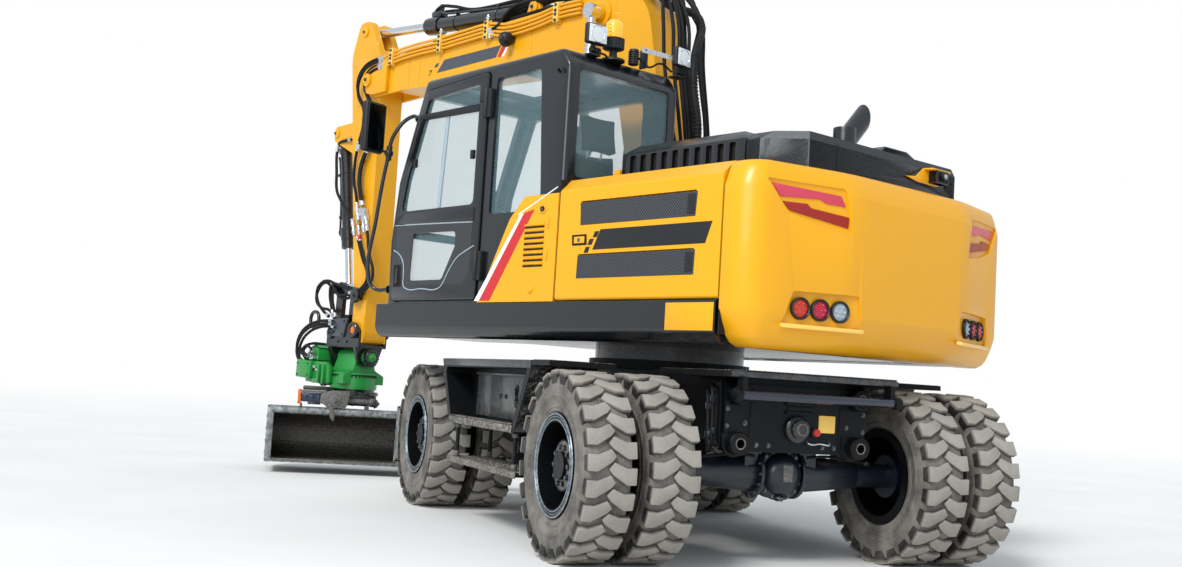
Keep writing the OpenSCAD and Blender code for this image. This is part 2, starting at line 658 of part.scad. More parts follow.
// Axis of the cab door's two hinges, which stand proud of the door
cab_hinge = [646, cab_y1 + 30];
hinge_z = [1700, 2880];
door_mid = cab_y1 - recess + seat_gap + door_t / 2;
right_window = [[100, 2150, 60], [1640, 2150, 60], [1600, 2400, 100], [1360, 2990, 40], [100, 2990, 60]];
front_z = [2060, 3020];
toe_z = [1620, 2000];
door_side = [[650, floor_z + 20, 20], [1700, floor_z + 20, 60], [1722, 1950, 200], [1664, 2380, 200],
  [1410, 3050, 50], [650, 3085, 30]];
door_window = [[740, 2170, 40], [1640, 2170, 40], [1590, 2400, 100], [1370, 2980, 40], [740, 3010, 30]];
door_low_window = [[740, 1640, 120], [1540, 1640, 120], [1650, 1900, 80], [1650, 2090, 30], [740, 2090, 30]];
rear_side_window = [[20, 2180, 30], [280, 2090, 120], [570, 2090, 30], [570, 3030, 30], [90, 3030, 40]];
module cab_shell() {
  color(black) on_upper() for (z = hinge_z) {
    block(cab_hinge[0] - 50, cab_hinge[0] - gap, cab_y1 - 1, cab_hinge[1] + 10, z - 24, z - 1);
    translate([cab_hinge[0], cab_hinge[1], z - 24]) cylinder(r=hinge_r + 5, h=23);
    translate([cab_hinge[0], cab_hinge[1], z - 24]) cylinder(r=hinge_r, h=100);
  }
  color(black) on_upper() difference() {
    plate(cab_side, (cab_y0 + cab_y1) / 2, cab_y1 - cab_y0);
    // Hollow inside
    plate([[-200 + cab_wall, floor_z + 60, 0], [1740, floor_z + 60, 40], [1755, 1950, 200], [1692, 2380, 200],
      [1415, roof_z - 60, 40], [-100, roof_z - 60, 40]], (cab_y0 + cab_y1) / 2, cab_y1 - cab_y0 - 2 * cab_wall);
    // Door opening
    plate([[640, floor_z + 61, 0], [1700, floor_z + 61, 40], [1712, 1950, 200], [1654, 2375, 200],
      [1400, 3040, 40], [640, 3075, 10]], cab_y1, 4 * cab_wall);
    plate([for (c = door_side) [c[0] < 700 ? c[0] - door_gap : c[0] + door_gap,
      c[1] < 1600 ? c[1] - door_gap : c[1] + (c[0] > 1600 ? 0 : door_gap), c[2]]], cab_y1, 2 * recess);
    // Side windows, front window, rear window and roof window
    plate(rear_side_window, cab_y1, 3 * cab_wall);
    plate(right_window, cab_y0, 3 * cab_wall);
    block(1200, 1900, cab_y0 + 80, cab_y1 - 80, front_z[0], front_z[1]);
    block(1600, 1900, cab_y0 + 80, cab_y1 - 80, toe_z[0], toe_z[1]);
    block(-300, -100, cab_y0 + 90, cab_y1 - 90, 2300, 3000);
    block(500, 1200, cab_y0 + 160, cab_y1 - 160, roof_z - 100, roof_z + 10);
  }
}
module cab_door() {
  color(black) on_upper() difference() {
    plate(door_side, door_mid, door_t);
    plate(door_window, cab_y1, 80);
    plate(door_low_window, cab_y1, 80);
  }
  color(black) on_upper() for (z = hinge_z) difference() {
    union() {
      translate([cab_hinge[0], cab_hinge[1], z]) cylinder(r=hinge_r + 5, h=80);
      block(cab_hinge[0], cab_hinge[0] + 60, door_mid + door_t / 2 - 1, cab_hinge[1] - 4, z, z + 80);
    }
    translate([cab_hinge[0], cab_hinge[1], z - 1]) cylinder(r=hinge_r + fit, h=82);
  }
}
glass_t = 6;
glass = [0.4, 0.5, 0.5, 0.4];
function middle(c) = let (one = [for (p = c) 1]) [[for (p = c) p[0]] * one, [for (p = c) p[1]] * one] / len(c);
// An outline whose corners are drawn in by g, for a pane in its opening
function drawn_in(c, g) = let (m = middle(c))
  [for (p = c) let (q = [p[0], p[1]] - m, w = m + q * (1 - g / norm(q))) [w[0], w[1], p[2]]];
pane_gap = 0.5;
module door_glass() {
  color(glass) on_upper() for (c = [door_window, door_low_window]) plate(drawn_in(c, pane_gap), door_mid, glass_t);
}
module cab_glass() {
  pane_w = cab_w - 22 - 160 - 2 * seat_gap;
  color(glass) on_upper() {
    plate(drawn_in(rear_side_window, pane_gap), cab_y1 - cab_wall / 2, glass_t);
    plate(drawn_in(right_window, pane_gap), cab_y0 + cab_wall / 2, glass_t);
    plate([[1758, front_z[0] + seat_gap, 0], [1758 + glass_t, front_z[0] + seat_gap, 0],
      [1714 + glass_t, 2400, 200], [1466 + glass_t, front_z[1] - seat_gap, 0], [1466, front_z[1] - seat_gap, 0], [1714, 2400, 200]],
      (cab_y0 + cab_y1) / 2, pane_w);
    plate([[1762, toe_z[0] + seat_gap, 0], [1762 + glass_t, toe_z[0] + seat_gap, 0],
      [1766 + glass_t, toe_z[1] - seat_gap, 0], [1766, toe_z[1] - seat_gap, 0]], (cab_y0 + cab_y1) / 2, pane_w);
    block(-186, -180, cab_y0 + 90.3, cab_y1 - 90.3, 2300.3, 2999.7);
    block(500.3, 1199.7, cab_y0 + 160.3, cab_y1 - 160.3, roof_z - 34, roof_z - 28);
  }
}
module seat() {
  color(dark) on_upper() {
    block(180, 640, 520, 960, floor_z + 60.3, floor_z + 260);
    slab([[150, 490, 60], [700, 490, 60], [700, 990, 60], [150, 990, 60]], floor_z + 260, floor_z + 390);
    plate([[120, 1880, 30], [280, 1880, 30], [180, 2540, 50], [20, 2540, 50]], 740, 470);
    plate([[0, 2560, 30], [110, 2560, 30], [80, 2760, 40], [-10, 2760, 40]], 740, 260);
    for (y = [680, 800]) rod([90, y, 2500], [60, y, 2590], 8);
  }
}
module console() {
  color(black) on_upper() {
    for (y = [400, 1080]) {
      block(150, 760, y - 60, y + 60, floor_z + 60.3, floor_z + 560);
      rod([700, y, floor_z + 550], [730, y, floor_z + 760], 18);
      translate([730, y, floor_z + 770]) sphere(r=32, $fn = 24);
    }
    block(1310, 1430, 680, 800, floor_z + 60.3, floor_z + 110);
    rod([1370, 740, floor_z + 90], [1180, 740, floor_z + 700], 40);
    translate([1180, 740, floor_z + 700]) rotate([0, -28, 0])
      rotate_extrude($fn = 40) translate([175, 0]) circle(r=15, $fn = 16);
    translate([1180, 740, floor_z + 700]) rotate([0, -28, 0]) for (a = [30, 150, 270])
      rotate([0, 0, a]) translate([0, -12, -10]) cube([176, 24, 12]);
  }
}
module roof_lamps() {
  color([0.9, 0.5, 0.05]) on_upper() {
    for (y = [cab_y0 + 60, cab_y1 - 110]) {
      translate([-60, y, roof_z]) cylinder(r=18, h=70);
      translate([-70, y, roof_z + 120]) rotate([0, -75, 0]) cylinder(r=58, h=60, center=true);
    }
    translate([-40, cab_y1 - 300, roof_z]) cylinder(r=20, h=120);
    translate([-40, cab_y1 - 300, roof_z + 118]) cylinder(r=62, h=60);
    translate([-40, cab_y1 - 300, roof_z + 176]) cylinder(r=56, h=90);
  }
}
module grab_rail() {
  // Ends square on the cab's slanted front above and on its toe below
  lean = unit([roof_z - 2400, 1740 - 1450]);
  foot = [1740, 2400] + [1450 - 1740, roof_z - 2400] * 0.63 + lean * seat_gap;
  top = foot + lean * 110;
  path = [[foot[0], 1195, foot[1]], [top[0], 1195, top[1]], [1770, 1300, 2640], [1890, 1300, 2140],
    [1960, 1290, 1640], [1900, 1205, 1600], [1786.6, 1205, 1600]];
  color(black) on_upper() {
    rail(path, 15);
    rod([1765, 1300, 2660], [1795, 1420, 2700], 12);
    translate([1800, 1440, 2790]) rotate([0, 0, 12])
      slab([[-20, -100, 18], [20, -100, 18], [20, 100, 18], [-20, 100, 18]], -190, 190);
  }
}

// Boom and stick

module boom() {
  color(yellow) on_boom() difference() {
    plate([[20, 1660, 115], [190, 1660, 105], [560, 2720, 900], [760, 3500, 300], [1700, 3500, 900],
      [3700, 3610, 400], [4180, 3600, 100], [4400, 3700, 130], [4380, 3900, 120], [3500, 3975, 500],
      [1600, 3980, 900], [420, 3990, 420], [150, 2720, 900], [-40, 1880, 120]], 0, boom_w, 6);
    bar_y(foot_pin, pin_r + fit, -boom_w, boom_w);
    // Fork for the stick
    block(3790, 4600, -stick_w / 2 - gap, stick_w / 2 + gap, 3300, 4200);
  }
  color(yellow) on_boom() {
    bar_y(lift_pin, 68, -lift_y + 45 + gap, lift_y - 45 - gap);
    bar_y(stick_pin, pin_r, -boom_w / 2 - 16, boom_w / 2 + 16);
    for (k = [-1, 1]) bar_y(stick_pin, 78, k * (boom_w / 2 + 4) - 5, k * (boom_w / 2 + 4) + 5);
    for (k = [-1, 1]) plate([[crowd_base[0] - 110, 3960, 0], [crowd_base[0] + 130, 3960, 0],
      [crowd_base[0] + 60, crowd_base[1] + 50, 50], [crowd_base[0] - 55, crowd_base[1] + 50, 50]],
      k * (crowd_r + gap + 15), 30);
    bar_y(crowd_base, 32, -crowd_r - 45, crowd_r + 45);
  }
}
module boom_pipes() {
  color(yellow) on_boom() for (y = [0, 1, 2]) {
    side = boom_w / 2 + 28;
    rail([[3650, side, 3900 - y * 48], [1300, side, 3900 - y * 48], [1030, side, 3870 - y * 48]], 15);
    for (x = [1500, 2400, 3300]) block(x - 25, x + 25, boom_w / 2 + seat_gap, boom_w / 2 + 50, 3780, 3920);
  }
  // Hoses along the boom's back, in clamps
  color(black) on_boom() for (y = [-128, -90, 90, 128]) {
    rod([620, y, 4011], [abs(y) > 100 ? 3250 : 1560, y, 4004], 14);
    for (x = abs(y) > 100 ? [700, 1500, 2300, 3100] : [700, 1400])
      block(x - 20, x + 20, y - 18, y + 18, top_edge(x) + 2 * seat_gap, 4016);
  }
}
// Height of the boom's top edge over x
function top_edge(x) = x < 1600 ? 3990 - (x - 420) / 118 : 3980 - (x - 1600) / 380;
lift_len = norm(lift_pin - lift_base);
module lift_barrels() {
  color(black) on_boom() mirrored() translate([0, lift_y, 0]) along(lift_base, lift_pin)
    barrel(lift_r, lift_rod_r, 1330, 64, 2 * lift_r - 14, pin_r);
}
module lift_rods() {
  color(chrome) on_boom() mirrored() translate([0, lift_y, 0]) along(lift_base, lift_pin)
    piston_rod(lift_rod_r, lift_len, 960, 60, 90);
}
module stick() {
  color(yellow) on_boom() difference() {
    union() {
      plate([[4105, 1230, 110], [4330, 1230, 110], [4340, 1650, 60], [4570, 3100, 900], [4715, 4080, 300],
        [4590, stick_top, 90], [4400, stick_top, 100], [4110, 3900, 140], [4120, 3500, 300]], 0, stick_w, 5);
      for (k = [-1, 1])
        plate([[4500, 3420, 0], [4590, 3100, 0], [ear_reach, 3270, 60], [ear_reach, 3410, 60]], k * 80, 36);
    }
    bar_y(stick_pin, pin_r + fit, -stick_w, stick_w);
    bar_y(tip_pin, pin_r + fit, -stick_w, stick_w);
    bar_y(rocker_pin, 30 + fit, -stick_w, stick_w);
    // Slot for the stick cylinder's eye
    block(4200, 4760, -52, 52, 4090, 4600);
  }
  color(yellow) on_boom() bar_y(dump_base, 32, -96, 96);
}
crowd_len = norm(crowd_pin - crowd_base);
module crowd_barrel() {
  color(black) on_boom() along(crowd_base, crowd_pin) barrel(crowd_r, 42, 1720, 62, 2 * crowd_r - 14, 32);
}
module crowd_rod() {
  color(chrome) on_boom() along(crowd_base, crowd_pin) piston_rod(42, crowd_len, 1250, 64, 92);
}
dump_len = norm(rod_pin - dump_base);
module dump_barrel() {
  color(black) on_boom() along(dump_base, rod_pin) barrel(dump_r, 36, 1180, 56, 112, 32);
}
module dump_rod() {
  color(chrome) on_boom() along(dump_base, rod_pin) piston_rod(36, dump_len, 600, 56, 80);
}
rocker_y = stick_w / 2 + gap + 14;
module rocker() {
  color(black) on_boom() {
    mirrored() {
      plate([[rocker_pin[0] - 62, rocker_pin[1] - 30, 44], [rod_pin[0] + 55, rod_pin[1] - 60, 50],
        [rod_pin[0] + 55, rod_pin[1] + 55, 50], [rocker_pin[0] - 62, rocker_pin[1] + 60, 44]], rocker_y, 28);
      bar_y(rod_pin, 32, 50, rocker_y + 20);
    }
    bar_y(rocker_pin, 30, -rocker_y - 20, rocker_y + 20);
  }
}
link_y = 76;
module link() {
  color(black) on_boom() difference() {
    union() {
      mirrored() plate([[link_pin[0] - 60, link_pin[1] - 45, 45], [link_pin[0] + 60, link_pin[1] - 45, 45],
        [rod_pin[0] + 58, rod_pin[1] + 58, 52], [rod_pin[0] - 58, rod_pin[1] + 58, 52]], link_y, 44);
      block(link_pin[0] - 8, link_pin[0] + 50, -link_y, link_y, link_pin[1] - 30, link_pin[1] + 190);
    }
    bar_y(rod_pin, 32 + fit, -200, 200);
  }
}

// Tool

ear_y = rocker_y;
// Plate under the ears, and radius of the toothed flanges on the tilt pin
ear_plate = [1198, 1222];
tilt_gear_r = 80;
module hitch() {
  color(black) on_boom() {
    for (k = [-1, 1]) plate([[tip_pin[0] - 80, tip_pin[1] + 70, 60], [tip_pin[0] - 80, ear_plate[0] + 2, 20],
      [link_pin[0] + 80, ear_plate[0] + 2, 20], [link_pin[0] + 80, link_pin[1] + 70, 60], [tip_pin[0] + 220, 1290, 60]], k * ear_y, 28);
    bar_y(tip_pin, pin_r, -ear_y - 30, ear_y + 30);
    for (k = [-1, 1]) bar_y(link_pin, 42, k * ear_y - 30, k * ear_y + 30);
    block(tip_pin[0] - 78, link_pin[0] + 78, -ear_y - 12, ear_y + 12, ear_plate[0], ear_plate[1]);
    for (x = [tip_pin[0] - 20, link_pin[0] - 20]) difference() {
      wall_x([[-ear_y - 12, 1205, 0], [-90, tilt_z - 95, 60], [90, tilt_z - 95, 60], [ear_y + 12, 1205, 0]],
        x, x + 40);
      bar_x(0, tilt_z, tilt_pin_r + fit, x - 10, x + 60);
    }
  }
}
module tilt_body() {
  x0 = tip_pin[0] + 20 + gap;
  x1 = link_pin[0] - 20 - gap;
  flange = [tip_pin[0] - 20 - gap, link_pin[0] + 20 + gap];
  color(green) on_boom() {
    bar_x(0, tilt_z, tilt_pin_r, flange[0] - 34, flange[1] + 34);
    bar_x(0, tilt_z, tilt_gear_r, x0, x1);
    // Toothed flanges outside the hitch's plates
    for (x = [flange[0] - 28, flange[1]]) translate([x, 0, tilt_z]) rotate([0, 90, 0]) linear_extrude(28)
      polygon([for (a = [0:20:340], k = [[0, tilt_gear_r], [8, tilt_gear_r], [10, 72], [18, 72]])
        k[1] * [cos(a + k[0]), sin(a + k[0])]]);
    // Housing: shoulders under the tilt barrel, the drum round the turning head and its worm drive
    wall_x([[-220, 850, 0], [220, 850, 0], [220, 930, 20], [120, 985, 30], [tilt_gear_r - 2, tilt_z, 0],
      [2 - tilt_gear_r, tilt_z, 0], [-120, 985, 30], [-220, 930, 20]], x0 + 8, x1 - 8);
    translate([tool_x, 0, rotor_z]) cylinder(r=222, h=132);
    bar_y([tool_x + 215, 882], 58, -235, 235);
    for (k = [-1, 1]) bar_y([tool_x + 215, 882], 72, k * 206 - 16, k * 206 + 16);
    slab([[tool_x + 120, -200, 20], [tool_x + 285, -200, 20], [tool_x + 285, 200, 20], [tool_x + 120, 200, 20]],
      820, 946);
  }
}
module on_tool() { on_boom() translate([tool_x, 0, 0]) rotate([0, 0, -bucket_turn]) children(); }
bucket_top = 600;
// Joint of the turning head, and the two bars that hold the bucket's ears
rotor_z = 800;
hook_pins = [[-220, 674], [230, 674]];
hook_r = 26;
module coupler() {
  color(black) on_tool() {
    translate([0, 0, 740]) cylinder(r=206, h=rotor_z - 740 - seat_gap);
    translate([0, 0, 741]) cylinder(r=228, h=24);
    slab([[-270, -195, 40], [290, -195, 40], [290, 195, 40], [-270, 195, 40]], 720, 742);
    // Cylinder of the locking bar
    bar_x(0, 676, 38, -130, 140);
    for (x = [-150, 138]) block(x, x + 14, -120, 120, 642, 722);
    for (y = [-180, 180]) plate([[-270, 640, 30], [290, 640, 30], [290, 722, 0], [-270, 722, 0]], y, 30);
    for (p = hook_pins) bar_y(p, hook_r, -196, 196);
  }
}
module bucket() {
  color(grey) on_tool() difference() {
    union() {
      plate([[-330, bucket_top, 0], [330, bucket_top, 60], [560, 470, 200], [560, 150, 160], [330, 90, 80],
        [-360, 110, 0]], 0, bucket_w, 6);
      bar_y([-310, bucket_top - 20], 34, -bucket_w / 2, bucket_w / 2);
      mirrored()
        plate([[-262, bucket_top - 10, 0], [272, bucket_top - 10, 0], [272, 716, 40], [-262, 716, 40]], 140, 24);
    }
    for (p = hook_pins) bar_y(p, hook_r + fit, -200, 200);
    plate([[-500, bucket_top - 30, 0], [320, bucket_top - 20, 50], [538, 462, 190], [538, 160, 150],
      [330, 112, 70], [-500, 134, 0]], 0, bucket_w - 44, 6);
  }
}

chassis_frame();
driveline();
front_axle();
rear_axle();
toolbox_left();
toolbox_right();
knuckle_left();
knuckle_right();
steering_rod();
tyres_front_left();
tyres_front_right();
tyres_rear_left();
tyres_rear_right();
rims_front_left();
rims_front_right();
rims_rear_left();
rims_rear_right();
blade();
blade_barrels();
blade_rods();
upper_frame();
counterweight();
engine();
left_bodywork();
right_tank();
hood_base();
exhaust();
hood_lid();
side_door_left();
side_door_right();
cab_shell();
cab_door();
cab_glass();
door_glass();
seat();
console();
roof_lamps();
grab_rail();
boom();
boom_pipes();
lift_barrels();
lift_rods();
stick();
crowd_barrel();
crowd_rod();
dump_barrel();
dump_rod();
rocker();
link();
hitch();
tilt_body();
coupler();
bucket();
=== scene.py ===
"""The looks of a wheeled excavator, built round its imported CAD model."""

from math import atan2, cos, pi, radians, sin

import bmesh
import bpy
from mathutils import Matrix, Vector


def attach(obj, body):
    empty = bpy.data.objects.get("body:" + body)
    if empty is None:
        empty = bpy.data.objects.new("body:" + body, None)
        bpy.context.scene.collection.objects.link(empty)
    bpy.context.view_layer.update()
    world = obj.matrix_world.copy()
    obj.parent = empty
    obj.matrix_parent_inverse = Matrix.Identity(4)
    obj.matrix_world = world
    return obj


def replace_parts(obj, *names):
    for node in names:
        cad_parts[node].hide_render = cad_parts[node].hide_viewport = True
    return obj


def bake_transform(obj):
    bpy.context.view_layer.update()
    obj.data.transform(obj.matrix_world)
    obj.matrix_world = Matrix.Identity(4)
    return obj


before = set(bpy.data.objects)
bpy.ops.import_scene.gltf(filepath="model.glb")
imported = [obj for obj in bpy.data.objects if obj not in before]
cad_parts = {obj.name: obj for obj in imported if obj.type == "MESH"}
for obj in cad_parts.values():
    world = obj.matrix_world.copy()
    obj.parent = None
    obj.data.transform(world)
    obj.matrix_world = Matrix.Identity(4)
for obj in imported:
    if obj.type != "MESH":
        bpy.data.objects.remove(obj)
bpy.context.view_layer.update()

SLEW = radians(18.4)
PARK = Vector((-1.4152, -0.1966, 0))
MACHINE = Matrix.Translation(PARK)
UPPER = MACHINE @ Matrix.Rotation(SLEW, 4, "Z")
BOOM = UPPER @ Matrix.Translation((0, -0.12, 0))
TOOL = BOOM @ Matrix.Translation((4.43, 0, 0)) @ Matrix.Rotation(radians(-29), 4, "Z")
AHEAD, BACK, LEFT, UP = (1, 0, 0), (-1, 0, 0), (0, 1, 0), (0, 0, 1)
ALONG = {"x": Vector(AHEAD), "y": Vector(LEFT), "z": Vector(UP)}

# Wheels: half the wheelbase, the hub's height, and the middles of a twin and of its two tyres
AXLE_X, AXLE_Z = 1.45, 0.53
TWIN_Y, TYRE_Y = 1.0725, 0.1875


# Camera, lights and floor


EYE = (-9.4862, 3.7824, 0.992)
YAW, PITCH, ROLL = radians(-22.55), radians(4.46), radians(3.47)
FOCAL_LENGTH, SENSOR_WIDTH = 38.92, 36


def set_down(name, data):
    """An object of the scene that holds the data."""
    thing = bpy.data.objects.new(name, data)
    bpy.context.scene.collection.objects.link(thing)
    return thing


def stand_camera():
    """The photograph's viewpoint: behind the left rear corner, a metre above the ground."""
    ahead = Vector((cos(YAW) * cos(PITCH), sin(YAW) * cos(PITCH), sin(PITCH)))
    level = ahead.cross(ALONG["z"]).normalized()
    above = level.cross(ahead)
    right = level * cos(ROLL) + above * sin(ROLL)
    up = above * cos(ROLL) - level * sin(ROLL)
    camera = set_down("camera", bpy.data.cameras.new("camera"))
    camera.matrix_world = Matrix.Translation(EYE) @ Matrix((right, up, -ahead)).transposed().to_4x4()
    camera.data.lens = FOCAL_LENGTH
    camera.data.sensor_width = SENSOR_WIDTH
    camera.data.clip_end = 500
    bpy.context.scene.camera = camera


def soft_panel(name, place, target, size, watts, tint):
    """A round area light that faces a target."""
    lamp = bpy.data.lights.new(name, "AREA")
    lamp.shape = "DISK"
    lamp.size = size
    lamp.energy = watts
    lamp.color = tint
    panel = set_down(name, lamp)
    aim = (Vector(target) - Vector(place)).to_track_quat("-Z", "Y")
    panel.matrix_world = Matrix.Translation(place) @ aim.to_matrix().to_4x4()


# Shapes


def sheet_of(points, plane, level=0.0, rounded=0.0):
    """A flat face through points given in a plane xy, xz or yz, its corners rounded."""
    bm = bmesh.new()
    spots = {"xy": lambda a, b: (a, b, level), "xz": lambda a, b: (a, level, b),
        "yz": lambda a, b: (level, a, b)}
    bm.faces.new([bm.verts.new(spots[plane](*p)) for p in points])
    if rounded:
        bmesh.ops.bevel(bm, geom=bm.verts[:], affect="VERTICES", offset=rounded, segments=4, profile=0.5,
            material=-1)
    return bm


def soften(bm, width, segments=2, corners_over=25):
    """Bevels each edge whose faces meet at more than an angle."""
    sharp = [e for e in bm.edges if len(e.link_faces) == 2 and e.calc_face_angle(0) > radians(corners_over)]
    bmesh.ops.bevel(bm, geom=sharp, affect="EDGES", offset=width, segments=segments, profile=0.5, material=-1,
        clamp_overlap=True)
    return bm


def thickened(bm, plane, depth, edge):
    """A flat shape drawn out across its plane, its edges bevelled."""
    grown = bmesh.ops.extrude_face_region(bm, geom=bm.faces[:])["geom"]
    across = ALONG[({"x", "y", "z"} - set(plane)).pop()]
    bmesh.ops.translate(bm, verts=[v for v in grown if isinstance(v, bmesh.types.BMVert)], vec=across * depth)
    bmesh.ops.recalc_face_normals(bm, faces=bm.faces[:])
    return soften(bm, edge) if edge else bm


def cut_plate(points, plane, low, high, edge=0.0, rounded=0.0):
    """A plate cut to an outline, from low to high across its plane."""
    return thickened(sheet_of(points, plane, low, rounded), plane, high - low, edge)


def inner_frame(points, plane, low, high, width, edge):
    """A frame: the outline with its middle cut out, thick from low to high."""
    bm = sheet_of(points, plane, low)
    rim = bmesh.ops.inset_region(bm, faces=bm.faces[:], thickness=width, depth=0,
        use_even_offset=True)["faces"]
    bmesh.ops.delete(bm, geom=[face for face in bm.faces if face not in rim], context="FACES")
    return thickened(bm, plane, high - low, edge)


def crowned(plan, level, height, inset, crown):
    """A block up from a plan, its top drawn in by an inset and raised by a crown."""
    bm = sheet_of(plan, "xy", level)
    grown = bmesh.ops.extrude_face_region(bm, geom=bm.faces[:])["geom"]
    roof = [face for face in grown if isinstance(face, bmesh.types.BMFace)]
    bmesh.ops.translate(bm, verts=roof[0].verts[:], vec=(0, 0, height))
    bmesh.ops.inset_region(bm, faces=roof, thickness=inset, depth=0.0, use_even_offset=True)
    bmesh.ops.translate(bm, verts=roof[0].verts[:], vec=(0, 0, crown))
    bmesh.ops.recalc_face_normals(bm, faces=bm.faces[:])
    return bm


def box_of(x0, x1, y0, y1, z0, z1, edge=0.004, segments=2):
    """A box between two limits of each axis, given in any order."""
    bm = bmesh.new()
    bmesh.ops.create_cube(bm, size=1)
    bmesh.ops.scale(bm, verts=bm.verts[:], vec=(abs(x1 - x0), abs(y1 - y0), abs(z1 - z0)))
    bmesh.ops.translate(bm, verts=bm.verts[:], vec=((x0 + x1) / 2, (y0 + y1) / 2, (z0 + z1) / 2))
    return soften(bm, edge, segments) if edge else bm


def standing(start, end):
    """Turns what was drawn up the Z axis from 0 to run from start towards end."""
    run = Vector(end) - Vector(start)
    return Matrix.Translation(start) @ run.to_track_quat("Z", "Y").to_matrix().to_4x4()


def bar_of(start, end, radius, sides=20, edge=0.0, end_radius=None):
    """A round bar, or one with as many flats as it has sides; an end radius makes it a cone."""
    bm = bmesh.new()
    length = (Vector(end) - Vector(start)).length
    bmesh.ops.create_cone(bm, cap_ends=True, segments=sides, radius1=radius,
        radius2=radius if end_radius is None else end_radius, depth=length)
    bmesh.ops.translate(bm, verts=bm.verts[:], vec=(0, 0, length / 2))
    if edge:
        soften(bm, edge, 2, 50)
    bmesh.ops.transform(bm, matrix=standing(start, end), verts=bm.verts[:])
    return bm


def rod_of(start, axis, length, *build):
    """A bar from its start along an axis, forwards or, with a length below 0, back."""
    return bar_of(start, Vector(start) + ALONG[axis] * length, *build)


def turned_of(profile, centre, facing, steps=32):
    """A profile of (radius, height) points turned about a centre, its heights along facing."""
    bm = bmesh.new()
    line = [bm.verts.new((radius, 0, height)) for radius, height in profile]
    edges = [bm.edges.new(pair) for pair in zip(line, line[1:])]
    bmesh.ops.spin(bm, geom=line + edges, cent=(0, 0, 0), axis=UP, angle=2 * pi, steps=steps, use_merge=True,
        use_duplicate=False)
    bmesh.ops.remove_doubles(bm, verts=bm.verts[:], dist=1e-5)
    bmesh.ops.recalc_face_normals(bm, faces=bm.faces[:])
    bmesh.ops.transform(bm, matrix=standing(centre, Vector(centre) + Vector(facing)), verts=bm.verts[:])
    return bm


def ball_of(centre, radius):
    """A ball."""
    bm = bmesh.new()
    bmesh.ops.create_uvsphere(bm, u_segments=20, v_segments=12, radius=radius)
    bmesh.ops.translate(bm, verts=bm.verts[:], vec=centre)
    return bm


def ring_of(centre, facing, radius, thick, steps=40, sides=10):
    """A round wire ring."""
    profile = [(radius + thick * cos(2 * pi * i / sides), thick * sin(2 * pi * i / sides))
        for i in range(sides + 1)]
    return turned_of(profile, centre, facing, steps)


def circle_of(count, radius, centre, facing, start=0.0):
    """Spots round a centre, across an axis that facing runs along."""
    u, v = [axis for axis in ALONG.values() if not axis.dot(Vector(facing))]
    turns = [2 * pi * (i + start) / count for i in range(count)]
    return [tuple(c + radius * (cos(a) * p + sin(a) * q) for c, p, q in zip(centre, u, v)) for a in turns]


def bolt_of(centre, facing, radius=0.012, height=0.009):
    """A hexagon head on its washer."""
    facing = Vector(facing).normalized()
    start = Vector(centre)
    head = bar_of(start + facing * 0.003, start + facing * (0.003 + height), radius, 6, 0.0015)
    return joined(head, bar_of(start - facing * 0.002, start + facing * 0.003, radius * 1.35, 16))


def bolt_ring(count, across, centre, facing, radius, height):
    """Bolts on a circle, across from the centre to each."""
    return joined(*[bolt_of(spot, facing, radius, height)
        for spot in circle_of(count, across, centre, facing)])


def tube_of(points, radius, sides=10, smooth=6):
    """A hose or pipe that runs smoothly through points."""
    line = bpy.data.curves.new("line", "CURVE")
    line.dimensions = "3D"
    line.bevel_depth = radius
    line.bevel_resolution = max(0, sides // 2 - 2)
    line.resolution_u = smooth
    line.use_fill_caps = True
    run = line.splines.new("BEZIER")
    run.bezier_points.add(len(points) - 1)
    for knot, spot in zip(run.bezier_points, points):
        knot.co = spot
        knot.handle_left_type = knot.handle_right_type = "AUTO"
    holder = set_down("line", line)
    bpy.context.view_layer.update()
    mesh = bpy.data.meshes.new_from_object(holder.evaluated_get(bpy.context.evaluated_depsgraph_get()))
    bm = bmesh.new()
    bm.from_mesh(mesh)
    bmesh.ops.remove_doubles(bm, verts=bm.verts[:], dist=1e-6)
    bpy.data.objects.remove(holder)
    bpy.data.curves.remove(line)
    bpy.data.meshes.remove(mesh)
    return bm


def mesh_from(name, bm):
    """The shape as mesh data; the shape is used up."""
    mesh = bpy.data.meshes.new(name)
    bm.to_mesh(mesh)
    bm.free()
    return mesh


def joined(first, *others):
    """Several shapes as one; the others are used up."""
    for other in others:
        part = mesh_from("part", other)
        first.from_mesh(part)
        bpy.data.meshes.remove(part)
    return first


def moved(bm, shift=(0, 0, 0), turn=0.0, about="z", centre=(0, 0, 0)):
    """The shape turned about a centre by an angle, then shifted."""
    if turn:
        bmesh.ops.rotate(bm, verts=bm.verts[:], cent=centre, matrix=Matrix.Rotation(turn, 3, ALONG[about]))
    bmesh.ops.translate(bm, verts=bm.verts[:], vec=shift)
    return bm


def flipped(bm, axis="y"):
    """The mirror image across the middle, its faces still outwards."""
    bmesh.ops.transform(bm, matrix=Matrix.Scale(-1, 4, ALONG[axis]), verts=bm.verts[:])
    bmesh.ops.reverse_faces(bm, faces=bm.faces[:])
    return bm


def pair(bm):
    """The shape and its mirror image."""
    return joined(bm, flipped(bm.copy()))


